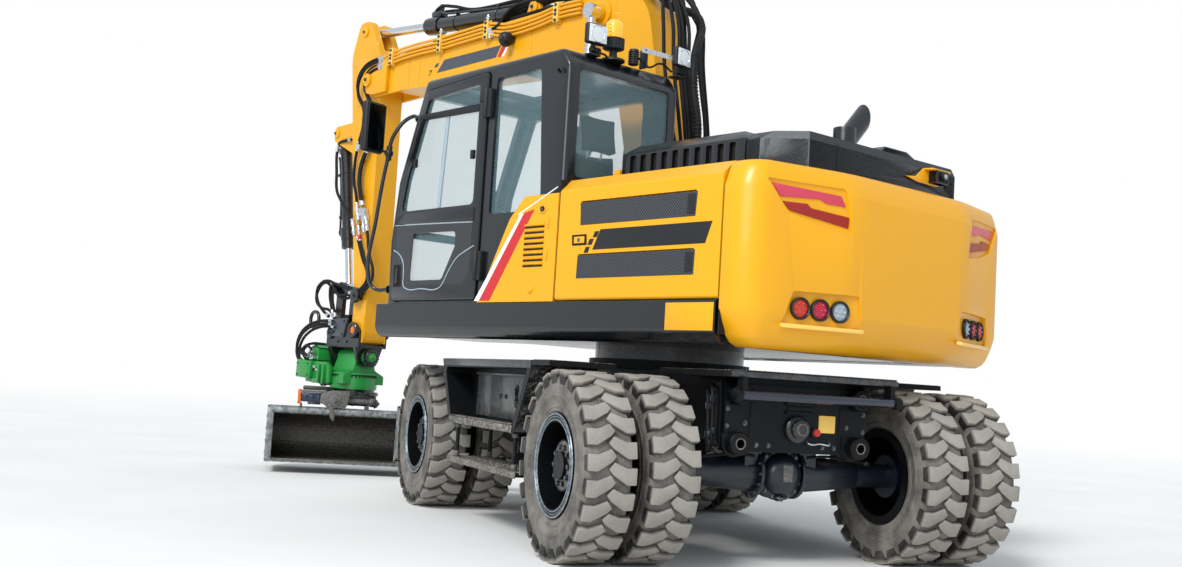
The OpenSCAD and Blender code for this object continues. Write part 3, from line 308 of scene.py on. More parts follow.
class Piece:
    """A piece in the making: shapes go on with their finish, and settle() sets it in the model."""

    def __init__(self, name, body, place=UPPER):
        self.name, self.body, self.place = name, body, place
        self.bm, self.finishes = bmesh.new(), []

    def add(self, finish, *shapes):
        if finish not in self.finishes:
            self.finishes.append(finish)
        for shape in shapes:
            for face in shape.faces:
                face.material_index = self.finishes.index(finish)
            joined(self.bm, shape)
        return self

    def settle(self, smooth=40, levels=0, ride=True):
        bmesh.ops.transform(self.bm, matrix=self.place, verts=self.bm.verts[:])
        mesh = mesh_from(self.name, self.bm)
        for finish in self.finishes:
            mesh.materials.append(finish)
        mesh.shade_smooth()
        mesh.set_sharp_from_angle(angle=radians(smooth))
        thing = set_down(self.name, mesh)
        if levels:
            rounder = thing.modifiers.new("rounder", "SUBSURF")
            rounder.levels = rounder.render_levels = levels
        if ride:
            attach(thing, self.body)
        return thing


# Materials


class Value:
    """A shader value. Sums and products of values add the Math nodes that work them out."""

    def __init__(self, finish, socket):
        self.finish, self.socket = finish, socket

    def sum(self, operation, *terms):
        return self.finish.node("ShaderNodeMath", dict(enumerate(terms)), operation=operation)

    def __add__(self, other):
        return self.sum("ADD", self, other)

    def __sub__(self, other):
        return self.sum("SUBTRACT", self, other)

    def __mul__(self, other):
        return self.sum("MULTIPLY", self, other)

    def __abs__(self):
        return self.sum("ABSOLUTE", self)

    def root(self):
        return self.sum("SQRT", self)

    def wave(self, length):
        """Runs between -1 and 1 once in each length."""
        return self.sum("SINE", self * (2 * pi / length))

    def ramp(self, start, end, low=0.0, high=1.0):
        """Low up to start, high from end on, and even between them."""
        settings = {"Value": self, "From Min": start, "From Max": end, "To Min": low, "To Max": high}
        return self.finish.node("ShaderNodeMapRange", settings, clamp=True)

    __radd__ = __add__
    __rmul__ = __mul__


class Finish:
    """A material: its shader's even values are set at once, and node() adds all that varies."""

    def __init__(self, name, **shader):
        self.material = bpy.data.materials.new(name)
        self.material.use_nodes = True
        self.tree = self.material.node_tree
        self.shader = self.tree.nodes["Principled BSDF"]
        for socket, value in shader.items():
            self.shader.inputs[socket.replace("_", " ")].default_value = value
        self.spot = self.node("ShaderNodeTexCoord", pick="Object")

    def node(self, kind, values=(), pick=0, **settings):
        made = self.tree.nodes.new(kind)
        for setting, value in settings.items():
            setattr(made, setting, value)
        for socket, value in dict(values).items():
            if isinstance(value, Value):
                self.tree.links.new(value.socket, made.inputs[socket])
            else:
                made.inputs[socket].default_value = value
        return Value(self, made.outputs[pick])

    def feed(self, **varying):
        for socket, value in varying.items():
            self.tree.links.new(value.socket, self.shader.inputs[socket.replace("_", " ")])

    def turned(self):
        """The spot in the upper structure's own frame."""
        values = {"Vector": self.spot, "Location": PARK, "Rotation": (0, 0, SLEW)}
        return self.node("ShaderNodeMapping", values, vector_type="TEXTURE")

    def axes(self, spot=None):
        parts = self.node("ShaderNodeSeparateXYZ", {0: spot or self.spot}).socket.node
        return [Value(self, output) for output in parts.outputs]

    def noise(self, scale, detail=4, roughness=0.55):
        values = {"Vector": self.spot, "Scale": scale, "Detail": detail, "Roughness": roughness}
        return self.node("ShaderNodeTexNoise", values)

    def mix(self, share, first, second):
        """First where share is 0 and second where it is 1, as colours."""
        return self.node("ShaderNodeMix", {0: share, 6: first, 7: second}, pick=2, data_type="RGBA")

    def relief(self, height, depth, strength=1.0):
        values = {"Height": height, "Distance": depth, "Strength": strength}
        self.feed(Normal=self.node("ShaderNodeBump", values))

    def normal_z(self):
        facing = self.node("ShaderNodeNewGeometry", pick="Normal")
        return self.axes(facing)[2]


def colour(code):
    """A colour written as on a screen, such as F2B01E, in the shader's own linear values."""
    parts = [int(code[i:i + 2], 16) / 255 for i in (0, 2, 4)]
    return tuple(p / 12.92 if p < 0.04 else ((p + 0.055) / 1.055) ** 2.4 for p in parts) + (1,)


def paint(name, base, dust, roughness, dusty_below, coat=0.35, shine=0.5):
    """Sprayed paint: faint orange peel, dust on what faces up and dirt thrown up from the ground."""
    f = Finish(name, Coat_Weight=coat, Coat_Roughness=0.12, Specular_IOR_Level=shine)
    height = f.axes()[2]
    cloud = f.noise(3.5)
    settled = f.normal_z().ramp(0.5, 1.0) * cloud.ramp(0.45, 0.75) * 0.3
    thrown = ((height + cloud * 0.5).ramp(dusty_below + 0.25, dusty_below - 0.35)
        * f.noise(26, 6).ramp(0.38, 0.68))
    dirt = (settled + thrown * 0.55).ramp(0, 1)
    f.feed(Base_Color=f.mix(dirt, colour(base), colour(dust)),
        Roughness=f.noise(40, 3).ramp(0.3, 0.7, roughness - 0.05, roughness + 0.07) + dirt * 0.3)
    f.relief(f.noise(420, 2), 0.0006, 0.25)
    return f.material


def rubber(name, base, dust, amount):
    """Rubber or cloth with dust in patches."""
    f = Finish(name, Specular_IOR_Level=0.3)
    patches = f.noise(7, 5, 0.62).ramp(0.34, 0.66)
    fine = f.noise(90, 6, 0.7)
    share = (patches * 0.5 + fine * 0.7 + amount - 0.6).ramp(0, 1)
    f.feed(Base_Color=f.mix(share, colour(base), colour(dust)), Roughness=share.ramp(0, 1, 0.62, 0.92))
    f.relief(fine, 0.004, 0.6)
    return f.material


def steel(name, base, worn, roughness, metallic=1.0, streaks=60):
    """Bare metal with worn, paler streaks."""
    f = Finish(name, Metallic=metallic)
    streak = f.noise(streaks, 6, 0.6)
    f.feed(Base_Color=f.mix(streak.ramp(0.4, 0.72), colour(base), colour(worn)),
        Roughness=streak.ramp(0.3, 0.8, roughness, roughness + 0.18))
    f.relief(streak, 0.001, 0.3)
    return f.material


def tinted_glass(name, tint, alpha):
    f = Finish(name, Base_Color=colour(tint), Alpha=alpha, Specular_IOR_Level=0.9, Coat_Weight=0.6,
        Coat_Roughness=0.02)
    f.feed(Roughness=f.noise(4).ramp(0.4, 0.8, 0.03, 0.09))
    return f.material


def lens(name, tint, glow=0.0, facets=140, coat=1.0):
    """A lamp's cover with its small moulded squares."""
    f = Finish(name, Roughness=0.12, Coat_Weight=coat, Emission_Strength=glow)
    _, up, high = f.axes(f.turned())
    moulded = up.wave(1.5 / facets) * high.wave(1.5 / facets)
    shade = f.mix(moulded.ramp(-1, 1), tuple(0.5 * c for c in colour(tint)[:3]) + (1,), colour(tint))
    f.feed(Base_Color=shade)
    if glow:
        f.feed(Emission_Color=shade)
    f.relief(moulded, 0.002, 0.5)
    return f.material


def block_rubber(name, groove_shade, face):
    """Tread rubber: dusty pale on the blocks' worn faces, and a painted shade down between them, darker
    nearer the axle.
    """
    f = Finish(name, Specular_IOR_Level=0.3)
    east, _, high = f.axes()
    run, lift = abs(east - PARK[0]) - AXLE_X, high - AXLE_Z
    out = (run * run + lift * lift).root()
    patches, fine = f.noise(7, 5, 0.62).ramp(0.34, 0.66), f.noise(90, 6, 0.7)
    # Below the blocks' outer faces the rubber takes the groove colour: painted shade down in the grooves.
    share = (out.ramp(0.5, 0.527, 0, 0.85) + patches * 0.22 + fine * 0.35 - 0.22).ramp(0, 1)
    f.feed(Base_Color=f.mix(share, colour(groove_shade), colour(face)), Roughness=share.ramp(0, 1, 0.62, 0.92))
    f.relief(fine, 0.004, 0.6)
    return f.material


def woven(name, wire, pitch):
    """Fine wire mesh, crossed on the slant; near black where it is open, a painted shade for the dark behind
    it.
    """
    f = Finish(name, Metallic=0.0, Specular_IOR_Level=0.6)
    across, _, up = f.axes(f.turned())
    one = (across + up).wave(pitch).ramp(-0.1, 0.5)
    two = (across - up).wave(pitch).ramp(-0.1, 0.5)
    wires = one.sum("MAXIMUM", one, two)
    f.feed(Base_Color=f.mix(wires, colour("040405"), colour(wire)), Roughness=wires.ramp(0, 1, 0.9, 0.45))
    f.relief(wires, 0.004, 0.9)
    return f.material


def rough_steel(name, base, speck, share, scale):
    """Steel under boots and stones: chipped and dusty in small specks."""
    f = Finish(name, Metallic=0.2)
    chips = f.noise(scale, 6, 0.75).ramp(share, share + 0.1) + f.noise(9, 4).ramp(0.5, 0.7) * 0.35
    f.feed(Base_Color=f.mix(chips.ramp(0, 1), colour(base), colour(speck)),
        Roughness=chips.ramp(0, 1, 0.42, 0.8))
    f.relief(chips, 0.002, 0.5)
    return f.material


yellow = paint("amber_paint", "EBA70C", "CBB07A", 0.36, 0.9, 0.18, 0.35)
black = paint("black_paint", "0C0E12", "5E5B56", 0.3, 1.0, 0.5)
# The chassis black is darker than the body's black paint: painted shade for the shadow under the machine, on
# the chassis's own black.
cast_in_shade = paint("chassis_black", "06080B", "3A3833", 0.5, 0.75, 0.06, 0.22)
green = paint("green_paint", "1C8F38", "4F6B45", 0.42, 0.5)
# The first colour is the painted shade in the grooves, the second the blocks' dusty faces.
tread = block_rubber("tread_rubber", "211F1D", "9C978F")
sidewall = rubber("sidewall_rubber", "45423E", "A09A91", 0.34)
rim_black = paint("rim_black", "050608", "2A2622", 0.45, 0.35, 0.08, 0.22)
bright = steel("chrome", "D8DADD", "F2F3F5", 0.08)
worn = steel("worn_steel", "5C5955", "9A958D", 0.42, 0.7)
hub_grey = steel("hub_grey", "5A5856", "86827C", 0.5, 0.3)
bared_lip = steel("bared_lip", "75828C", "C3CCD2", 0.25, 0.8)
pin_steel = steel("pin_steel", "54575C", "8D9094", 0.33)
plastic = paint("black_plastic", "101114", "3A3A3A", 0.5, 0.4, 0.05)
hose_black = rubber("hose_rubber", "0D0E10", "2B2B2B", 0.1)
glass = tinted_glass("cab_glass", "8FB4BC", 0.16)
cloth = rubber("seat_cloth", "17181B", "2E3036", 0.25)
mesh_wire = woven("grille_mesh", "43464C", 0.021)
# Dark strips, plates and discs laid in seams, gaps, recesses and openings: painted shade.
seam_shade = Finish("seam_shadow", Base_Color=colour("120D05"), Roughness=0.9).material
flat_red = paint("red_film", "C8141B", "9B6A55", 0.3, 0.6)
flat_white = paint("white_film", "F1F0EC", "B9B2A6", 0.32, 0.6)
cream = paint("pale_edge", "F8C95A", "D8BE8A", 0.36, 0.6)
orange_lens = lens("orange_lens", "D2361A", 0.1, 140, 0.4)
red_lens = lens("red_lens", "C4103A", 0.1, 140, 0.4)
clear_lens = lens("clear_lens", "B4C2CC", 0.0, 140, 0.6)
# The rose reflector glows faintly: painted light, as a reflector is no lamp.
rose_film = lens("rose_reflector", "E8405E", 0.1, 260, 0.3)
deep_film = lens("deep_reflector", "B80508", 0.0, 260, 0.15)
# Pale blue-grey lines laid along glass edges, the door's waist band and the mask's edge: painted highlights.
pane_glint = paint("pane_glint", "9DB0B8", "9DA4A6", 0.25, 0.2, 0.6)
gloss_black = paint("gloss_black", "090B0E", "3A3A38", 0.1, 0.8, 0.8)
plated = steel("zinc_plate", "C9CCD0", "E4E6E8", 0.28, 0.9)
white_lens = lens("work_lamp_glass", "DCE4EA", 0.35, 90)
amber_lens = lens("beacon_glass", "FFA512", 1.1, 60)
mirror_blue = steel("mirror_glass", "11151C", "1C222B", 0.1, 1.0, 3)
orange_pin = paint("pin_orange", "D96B12", "8A5A30", 0.45, 0.6)
slate_film = paint("slate_film", "3C434D", "8A8A88", 0.38, 0.6)
red_cap = paint("red_plastic", "C4151B", "6B3A30", 0.4, 0.4)
brass = steel("brass_fitting", "B8862E", "D8B25A", 0.3)
pale_steel = steel("scoured_steel", "6C6F6E", "B4B8B8", 0.34, 0.55, 22)
navy = paint("navy_paint", "1B2A44", "4A5060", 0.4, 0.6)
trodden = rough_steel("trodden_steel", "1C1D20", "A39C90", 0.47, 70)
chipped = rough_steel("chipped_paint", "0C0D10", "8F8C86", 0.54, 55)
dusted = paint("dusted_black", "24272C", "77736C", 0.42, 1.4)
blue_black = paint("blue_black", "10182A", "3A3D46", 0.26, 0.3, 0.7)
axle_navy = paint("axle_navy", "0D1322", "3B3A3C", 0.4, 0.5)

NODES_OF = {
    worn: "bucket",
    green: "tilt_body",
    glass: "cab_glass door_glass",
    bright: "lift_rods crowd_rod dump_rod blade_rods",
    yellow: "counterweight left_bodywork right_tank side_door_left side_door_right boom boom_pipes stick",
    cast_in_shade: "chassis_frame driveline toolbox_left toolbox_right knuckle_left knuckle_right steering_rod blade "
          "blade_barrels",
    axle_navy: "front_axle rear_axle",
    tread: "tyres_front_left tyres_front_right tyres_rear_left tyres_rear_right",
    rim_black: "rims_front_left rims_front_right rims_rear_left rims_rear_right",
    cloth: "seat",
}


def finish_nodes():
    """Every CAD node gets a finish, black paint where no other is named."""
    finish_of = {node: finish for finish, nodes in NODES_OF.items() for node in nodes.split()}
    for name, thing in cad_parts.items():
        for holder in thing.material_slots:
            holder.material = finish_of.get(name, black)


finish_nodes()


def lay_floor():
    """A pale floor that fades to plain white far off, as the camera sees it."""
    f = Finish("pale_floor", Roughness=0.9, Specular_IOR_Level=0.2)
    shade = f.noise(0.6).ramp(0.3, 0.7)
    f.feed(Base_Color=f.mix(shade, (0.78, 0.77, 0.75, 1), (0.84, 0.83, 0.81, 1)))
    rays = f.node("ShaderNodeLightPath").socket.node
    east, north, _ = f.axes()
    far = (east * east + north * north).root().ramp(9, 30)
    white = f.node("ShaderNodeEmission", {"Color": (1, 1, 1, 1)})
    seen = (Value(f, rays.outputs["Is Camera Ray"]) + Value(f, rays.outputs["Is Glossy Ray"])
        + Value(f, rays.outputs["Is Transmission Ray"])).ramp(0, 1)
    out = f.tree.nodes["Material Output"]
    both = f.node("ShaderNodeMixShader", {0: far * seen, 1: Value(f, f.shader.outputs[0]), 2: white})
    f.tree.links.new(both.socket, out.inputs["Surface"])
    ground = bmesh.new()
    bmesh.ops.create_grid(ground, x_segments=2, y_segments=2, size=120)
    mesh = mesh_from("floor", ground)
    mesh.materials.append(f.material)
    floor = set_down("floor", mesh)


def light_sky():
    """An overcast sky that shows white behind the machine, a soft sun and a fill light from the left."""
    world = bpy.data.worlds.new("sky")
    bpy.context.scene.world = world
    world.use_nodes = True
    tree = world.node_tree

    def background(colour, strength):
        made = tree.nodes.new("ShaderNodeBackground")
        made.inputs["Color"].default_value, made.inputs["Strength"].default_value = colour, strength
        return made.outputs[0]

    def fed(kind, *sources):
        made = tree.nodes.new(kind)
        for socket, source in zip(made.inputs, sources):
            tree.links.new(source, socket)
        return made

    rays = tree.nodes.new("ShaderNodeLightPath").outputs
    either = fed("ShaderNodeMath", rays["Is Camera Ray"], rays["Is Transmission Ray"])
    either.operation = "MAXIMUM"
    both = fed("ShaderNodeMixShader", either.outputs[0], background((0.86, 0.93, 1.0, 1), 0.78),
        background((1, 1, 1, 1), 1))
    tree.links.new(both.outputs[0], tree.nodes["World Output"].inputs["Surface"])
    sun = bpy.data.lights.new("key", "SUN")
    sun.energy = 1.95
    sun.angle = radians(16)
    sunlight = Vector((0.45, -0.62, -0.72)).to_track_quat("-Z", "Y")
    set_down("key", sun).matrix_world = sunlight.to_matrix().to_4x4()
    soft_panel("fill", (-9, 7, 5), (-1, 0, 1.6), 5, 260, (0.9, 0.95, 1))


stand_camera()
bpy.context.scene.view_settings.view_transform = "Standard"
light_sky()
lay_floor()


# Wheels

BLOCKS = 24
LIP_Y = 0.317
HUB_FACE = 0.264


def tread_block():
    """One block of the outer row: straight at the shoulder, slanted and pointed towards the middle."""
    plan = [(0.139, 0.044), (0.088, 0.047), (0.004, -0.004), (-0.02, -0.034), (0.01, -0.072), (0.08, -0.042),
        (0.139, -0.045)]
    top = cut_plate(plan, "xy", 0.494, 0.5295, 0.0045)
    shoulder = cut_plate([(0.118, 0.515), (0.139, 0.52), (0.1395, 0.485), (0.131, 0.44), (0.118, 0.44)], "xz",
        -0.041, 0.04, 0.004)
    return joined(top, shoulder)


def tyre_shape():
    """A tyre about the Y axis at the origin: its casing, and two rows of blocks half a pitch apart."""
    half = [(0.291, 0.116), (0.302, 0.125), (0.318, 0.127), (0.322, 0.131), (0.33, 0.131), (0.336, 0.127),
        (0.38, 0.136), (0.384, 0.139), (0.392, 0.139), (0.396, 0.136), (0.43, 0.136), (0.47, 0.131),
        (0.496, 0.12), (0.503, 0.09), (0.505, 0.03)]
    section = half + [(r, -y) for r, y in reversed(half)]
    casing = turned_of(section, (0, 0, 0), LEFT, 72)
    blocks = bmesh.new()
    for side in (1, -1):
        for i in range(BLOCKS):
            block = tread_block()
            if side < 0:
                flipped(block, "x")
            angle = 2 * pi * (i + (0.5 if side < 0 else 0.0)) / BLOCKS
            bmesh.ops.transform(block, matrix=Matrix.Rotation(angle, 4, "Y")
                @ Matrix.Rotation(pi / 2, 4, "Z"), verts=block.verts[:])
            joined(blocks, block)
    return casing, blocks


def rim_trim():
    """The bright lips and the bolted hub plate of an outer rim, towards +Y from the wheel's middle."""
    lips = joined(*[ring_of((0, LIP_Y, 0), LEFT, radius, thick, 64)
        for radius, thick in ((0.284, 0.0055), (0.252, 0.0035), (0.268, 0.0022))])
    hub = turned_of([(0, 0.268), (0.03, 0.27), (0.034, 0.266), (0.12, 0.264), (0.134, 0.262), (0.141, 0.255),
        (0.141, 0.235)], (0, 0, 0), LEFT, 48)
    bolts = joined(bolt_ring(10, 0.104, (0, HUB_FACE, 0), LEFT, 0.014, 0.014),
        ring_of((0, 0.266, 0), LEFT, 0.06, 0.004))
    # Dark discs on the hub plate for its holes: painted shade.
    hole_shades = joined(*[turned_of([(0, 0.2655), (0.011, 0.2655), (0.013, 0.2635)], spot, LEFT, 20)
        for spot in circle_of(5, 0.08, (0, 0, 0), LEFT, 0.3)])
    return {bared_lip: lips, hub_grey: hub, pin_steel: bolts, plastic: hole_shades}


def fit_wheels():
    """Four twins; each of the two tyres is turned a little against the other."""
    casing, blocks = tyre_shape()
    for end, x in (("front", AXLE_X), ("rear", -AXLE_X)):
        for side, s in (("left", 1), ("right", -1)):
            body = f"wheel_{end}_{side}"
            place = MACHINE @ Matrix.Translation((x, s * TWIN_Y, AXLE_Z))
            tyres = Piece(f"tyre_pair_{end}_{side}", body, place)
            for offset, spun in ((TYRE_Y, 0.11), (-TYRE_Y, 0.05)):
                tyres.add(sidewall, moved(casing.copy(), (0, offset, 0)))
                tyres.add(tread, moved(blocks.copy(), (0, offset, 0), spun, "y"))
            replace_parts(tyres.settle(32), f"tyres_{end}_{side}")
            trim = Piece(f"rim_trim_{end}_{side}", body, place)
            for finish, shape in rim_trim().items():
                trim.add(finish, shape if s > 0 else flipped(shape))
            trim.settle()


# Left flank of the upper body: panels, grilles, louvres and stripe

FLANK = 1.25


def proud(sunk, out, level=FLANK):
    """From where to where a plate lies that is sunk in a panel and stands out of it."""
    return level - sunk, level + out


def plate_on(points, sunk, out, edge=0.0, level=FLANK):
    """A plate sunk in a panel and standing out of it."""
    return cut_plate(points, "xz", *proud(sunk, out, level), edge)


def grille(name, corners, side=1):
    """A mesh grille in a black frame, set in a shallow raised surround of the door's own paint."""
    (ax, az), (bx, bz), (cx, cz), (dx, dz) = corners
    grow = 0.034
    wide = [(ax + grow, az + grow), (bx - grow, bz + grow), (cx - grow, cz - grow), (dx + grow, dz - grow)]
    piece = Piece(name, "side_door_left" if side > 0 else "side_door_right")
    for finish, shape in ((yellow, inner_frame(wide, "xz", *proud(0.004, 0.006), 0.024, 0.004)),
            (plastic, inner_frame(corners, "xz", *proud(0.01, 0.01), 0.014, 0.003)),
            (mesh_wire, plate_on(corners, 0.012, 0.002)),
            (plastic, box_of(bx + 0.015, bx + 0.075, *proud(0.01, 0.006), cz + 0.014, bz - 0.014, 0.003))):
        piece.add(finish, shape if side > 0 else flipped(shape))
    piece.settle(30)


def door_latch(name, body, side):
    """A recessed latch with its lock; only the left one shows its handle."""
    latch = Piece(name, body)
    rim = [(-0.338, 1.914), (-0.5, 1.914), (-0.506, 1.822), (-0.344, 1.822)]
    bed = [(-0.35, 1.902), (-0.488, 1.902), (-0.494, 1.834), (-0.356, 1.834)]
    # The latch's bed is a dark plate: painted shade in the recess.
    shapes = [(yellow, inner_frame(rim, "xz", *proud(0.003, 0.005), 0.012, 0.002)),
        (seam_shade, plate_on(bed, 0.002, 0.001))]
    if side > 0:
        shapes.append((yellow, box_of(-0.47, -0.372, *proud(0.002, 0.004), 1.848, 1.89, 0.003)))
    shapes.append((pin_steel, rod_of((-0.42, FLANK, 1.868), "y", 0.008, 0.012, 20, 0.002)))
    for finish, shape in shapes:
        latch.add(finish, shape if side > 0 else flipped(shape))
    latch.settle()


def dress_flank():
    """Grilles on both sides; on the left also the blank plates, the latch, a crease's painted shade and the
    small door.
    """
    for side, ending in ((1, ""), (-1, "_right")):
        grille("upper_grille" + ending, [(-0.415, 2.1), (-1.421, 2.1), (-1.41, 1.96), (-0.428, 1.96)], side)
        grille("lower_grille" + ending, [(-0.416, 1.772), (-1.422, 1.772), (-1.418, 1.63), (-0.412, 1.63)],
            side)
    blank = [(-0.615, 1.925), (-1.545, 1.925), (-1.497, 1.803), (-0.55, 1.803)]
    plate = Piece("dark_plate", "side_door_left")
    plate.add(plastic, plate_on(blank, 0.002, 0.0025, 0.0008))
    for x, z in ((-0.625, 1.915), (-0.58, 1.87), (-0.548, 1.822)):
        plate.add(plastic, cut_plate([(x + 0.06, z), (x + 0.022, z), (x + 0.04, z - 0.036),
            (x + 0.078, z - 0.036)], "xz", *proud(0.002, 0.0025), 0.0008))
    plate.settle()
    door_latch("side_door_latch", "side_door_left", 1)
    # A dark strip along the door's crease: painted shade.
    crease = Piece("door_crease_shade", "side_door_left")
    crease.add(seam_shade, plate_on([(-0.208, 1.498), (-0.214, 1.498), (-0.214, 2.262), (-0.208, 2.262)],
        0.05, 0.0006))
    crease.settle()
    louvre_door()
    stripe_and_skirt()


def louvre_door():
    """The small door ahead of the big one: a slanted corner, eight slats, an oval lock and a knob."""
    door = Piece("louvre_door", "upper")
    panel = [(-0.105, 2.04), (-0.105, 1.69), (0.232, 1.69), (0.248, 1.9), (0.15, 2.04)]
    # A dark outline round the door: painted shade in its gap.
    door.add(seam_shade, inner_frame(panel, "xz", *proud(0.003, 0.0008), 0.006, 0))
    for i in range(8):
        z = 1.735 + i * 0.036
        slat = cut_plate([(FLANK - 0.004, z - 0.011), (FLANK + 0.011, z - 0.004), (FLANK + 0.011, z + 0.001),
            (FLANK - 0.004, z + 0.013)], "yz", -0.07, 0.13, 0.0012)
        door.add(yellow, slat)
        # A dark strip under each slat: painted shade between the slats.
        door.add(seam_shade, box_of(-0.071, 0.131, FLANK - 0.003, FLANK + 0.0015, z - 0.021, z - 0.011, 0))
    lock = ring_of((-0.04, FLANK + 0.002, 2.085), LEFT, 0.024, 0.006)
    bmesh.ops.scale(lock, verts=lock.verts[:], vec=(1.45, 1, 1), space=Matrix.Translation((0.04, 0, -2.085)))
    door.add(yellow, lock)
    # A dark rod in the lock: painted shade in its keyhole.
    door.add(seam_shade, rod_of((-0.04, FLANK - 0.002, 2.085), "y", 0.004, 0.022))
    door.add(pin_steel, rod_of((-0.04, FLANK, 2.085), "y", 0.006, 0.012, 20, 0.001))
    door.add(yellow, turned_of([(0.024, -0.002), (0.023, 0.006), (0.016, 0.012), (0, 0.013)],
        (0.036, FLANK, 1.568), LEFT))
    for z in (1.755, 1.96):
        door.add(yellow, rod_of((-0.108, FLANK + 0.003, z), "z", 0.07, 0.007, 14, 0.002))
    door.settle()


def stripe_and_skirt():
    """The slanted red stripe with its white border along the cab's foot, and the skirt's blank plate."""
    film = Piece("flank_stripe", "upper")
    film.add(flat_red, plate_on([(0.15, 2.07), (0.042, 2.09), (0.47, 1.5), (0.585, 1.5)], 0.002, 0.0016))
    film.add(flat_white, plate_on([(0.19, 2.062), (0.15, 2.07), (0.585, 1.5), (0.64, 1.5)], 0.002, 0.0018))
    film.add(flat_white, plate_on([(0.206, 2.06), (-0.18, 2.215), (-0.18, 2.222), (0.214, 2.066)], 0.002,
        0.0018))
    film.settle()
    plate = Piece("skirt_plate", "upper")
    plate.add(yellow, box_of(-1.59, -1.216, 1.2515, 1.2545, 1.318, 1.474, 0.001))
    plate.settle()


fit_wheels()
dress_flank()


# Tail: the counterweight, its lamps and reflectors

SLANT = UPPER @ Matrix.Translation((-2.0, 0.56, 0)) @ Matrix.Rotation(radians(-15.38), 4, "Z")
SLANT_LOCAL = UPPER.inverted() @ SLANT


def carved(bm, *cutters):
    """The shape with the cutters' volumes taken out of it."""
    things = [set_down("carving", mesh_from("carving", shape)) for shape in (bm, joined(*cutters))]
    body, tool = things
    cut = body.modifiers.new("cut", "BOOLEAN")
    cut.operation, cut.solver, cut.object = "DIFFERENCE", "EXACT", tool
    bpy.context.view_layer.update()
    result = bpy.data.meshes.new_from_object(body.evaluated_get(bpy.context.evaluated_depsgraph_get()))
    done = bmesh.new()
    done.from_mesh(result)
    meshes = [result, body.data, tool.data]
    for thing in things:
        bpy.data.objects.remove(thing)
    for mesh in meshes:
        bpy.data.meshes.remove(mesh)
    bmesh.ops.remove_doubles(done, verts=done.verts[:], dist=1e-5)
    return done


def lofted(loops):
    """Closed loops of equal count, one over the other, bridged and closed at both ends."""
    bm = bmesh.new()
    rings = []
    for loop in loops:
        start = len(bm.edges)
        joined(bm, loop)
        bm.faces.ensure_lookup_table()
        bmesh.ops.delete(bm, geom=bm.faces[-1:], context="FACES_ONLY")
        bm.edges.ensure_lookup_table()
        rings.append(range(start, len(bm.edges)))
    for low, high in zip(rings, rings[1:]):
        bm.edges.ensure_lookup_table()
        bmesh.ops.bridge_loops(bm, edges=[bm.edges[i] for i in (*low, *high)])
    bmesh.ops.holes_fill(bm, edges=bm.edges[:], sides=0)
    bmesh.ops.recalc_face_normals(bm, faces=bm.faces[:])
    return bm


def tail_outline(level, inset):
    """The counterweight's plan at a level, drawn in from its widest."""
    corner = -1.81 + 0.3 * inset
    half = [(-1.6247, 1.25 - inset), (corner, 1.25 - inset), (-2.0 + inset, 0.56)]
    bm = sheet_of(half + [(x, -y) for x, y in reversed(half)], "xy", level)
    bm.verts.ensure_lookup_table()
    corners, tails = [bm.verts[1], bm.verts[4]], [bm.verts[2], bm.verts[3]]
    bmesh.ops.bevel(bm, geom=corners, affect="VERTICES", offset=0.125 - 0.4 * inset, segments=8, profile=0.5,
        material=-1)
    bmesh.ops.bevel(bm, geom=[v for v in tails if v.is_valid], affect="VERTICES", offset=0.1, segments=6,
        profile=0.5, material=-1)
    return bm


def slanted(bm):
    """A shape drawn in the slanted corner's frame, in the upper structure's."""
    bmesh.ops.transform(bm, matrix=SLANT_LOCAL, verts=bm.verts[:])
    return bm


def lamp(centre, facing, radius, tint, holder):
    """A round lamp: dark bezel, domed lens and its reflector cells."""
    bezel = turned_of([(radius * 0.8, 0.012), (radius * 0.9, 0.018), (radius, 0.014), (radius, -0.012)],
        centre, facing, 32)
    dome = turned_of([(0, 0.014), (radius * 0.4, 0.013), (radius * 0.7, 0.009), (radius * 0.84, 0.004)],
        centre, facing, 32)
    cells = joined(*[ball_of(spot, radius * 0.15) for spot in circle_of(6, radius * 0.5, (0, 0, 0.01), UP)],
        ball_of((0, 0, 0.012), radius * 0.15))
    bmesh.ops.transform(cells, matrix=standing(centre, Vector(centre) + Vector(facing)), verts=cells.verts[:])
    holder.add(plastic, bezel).add(tint, dome, cells)


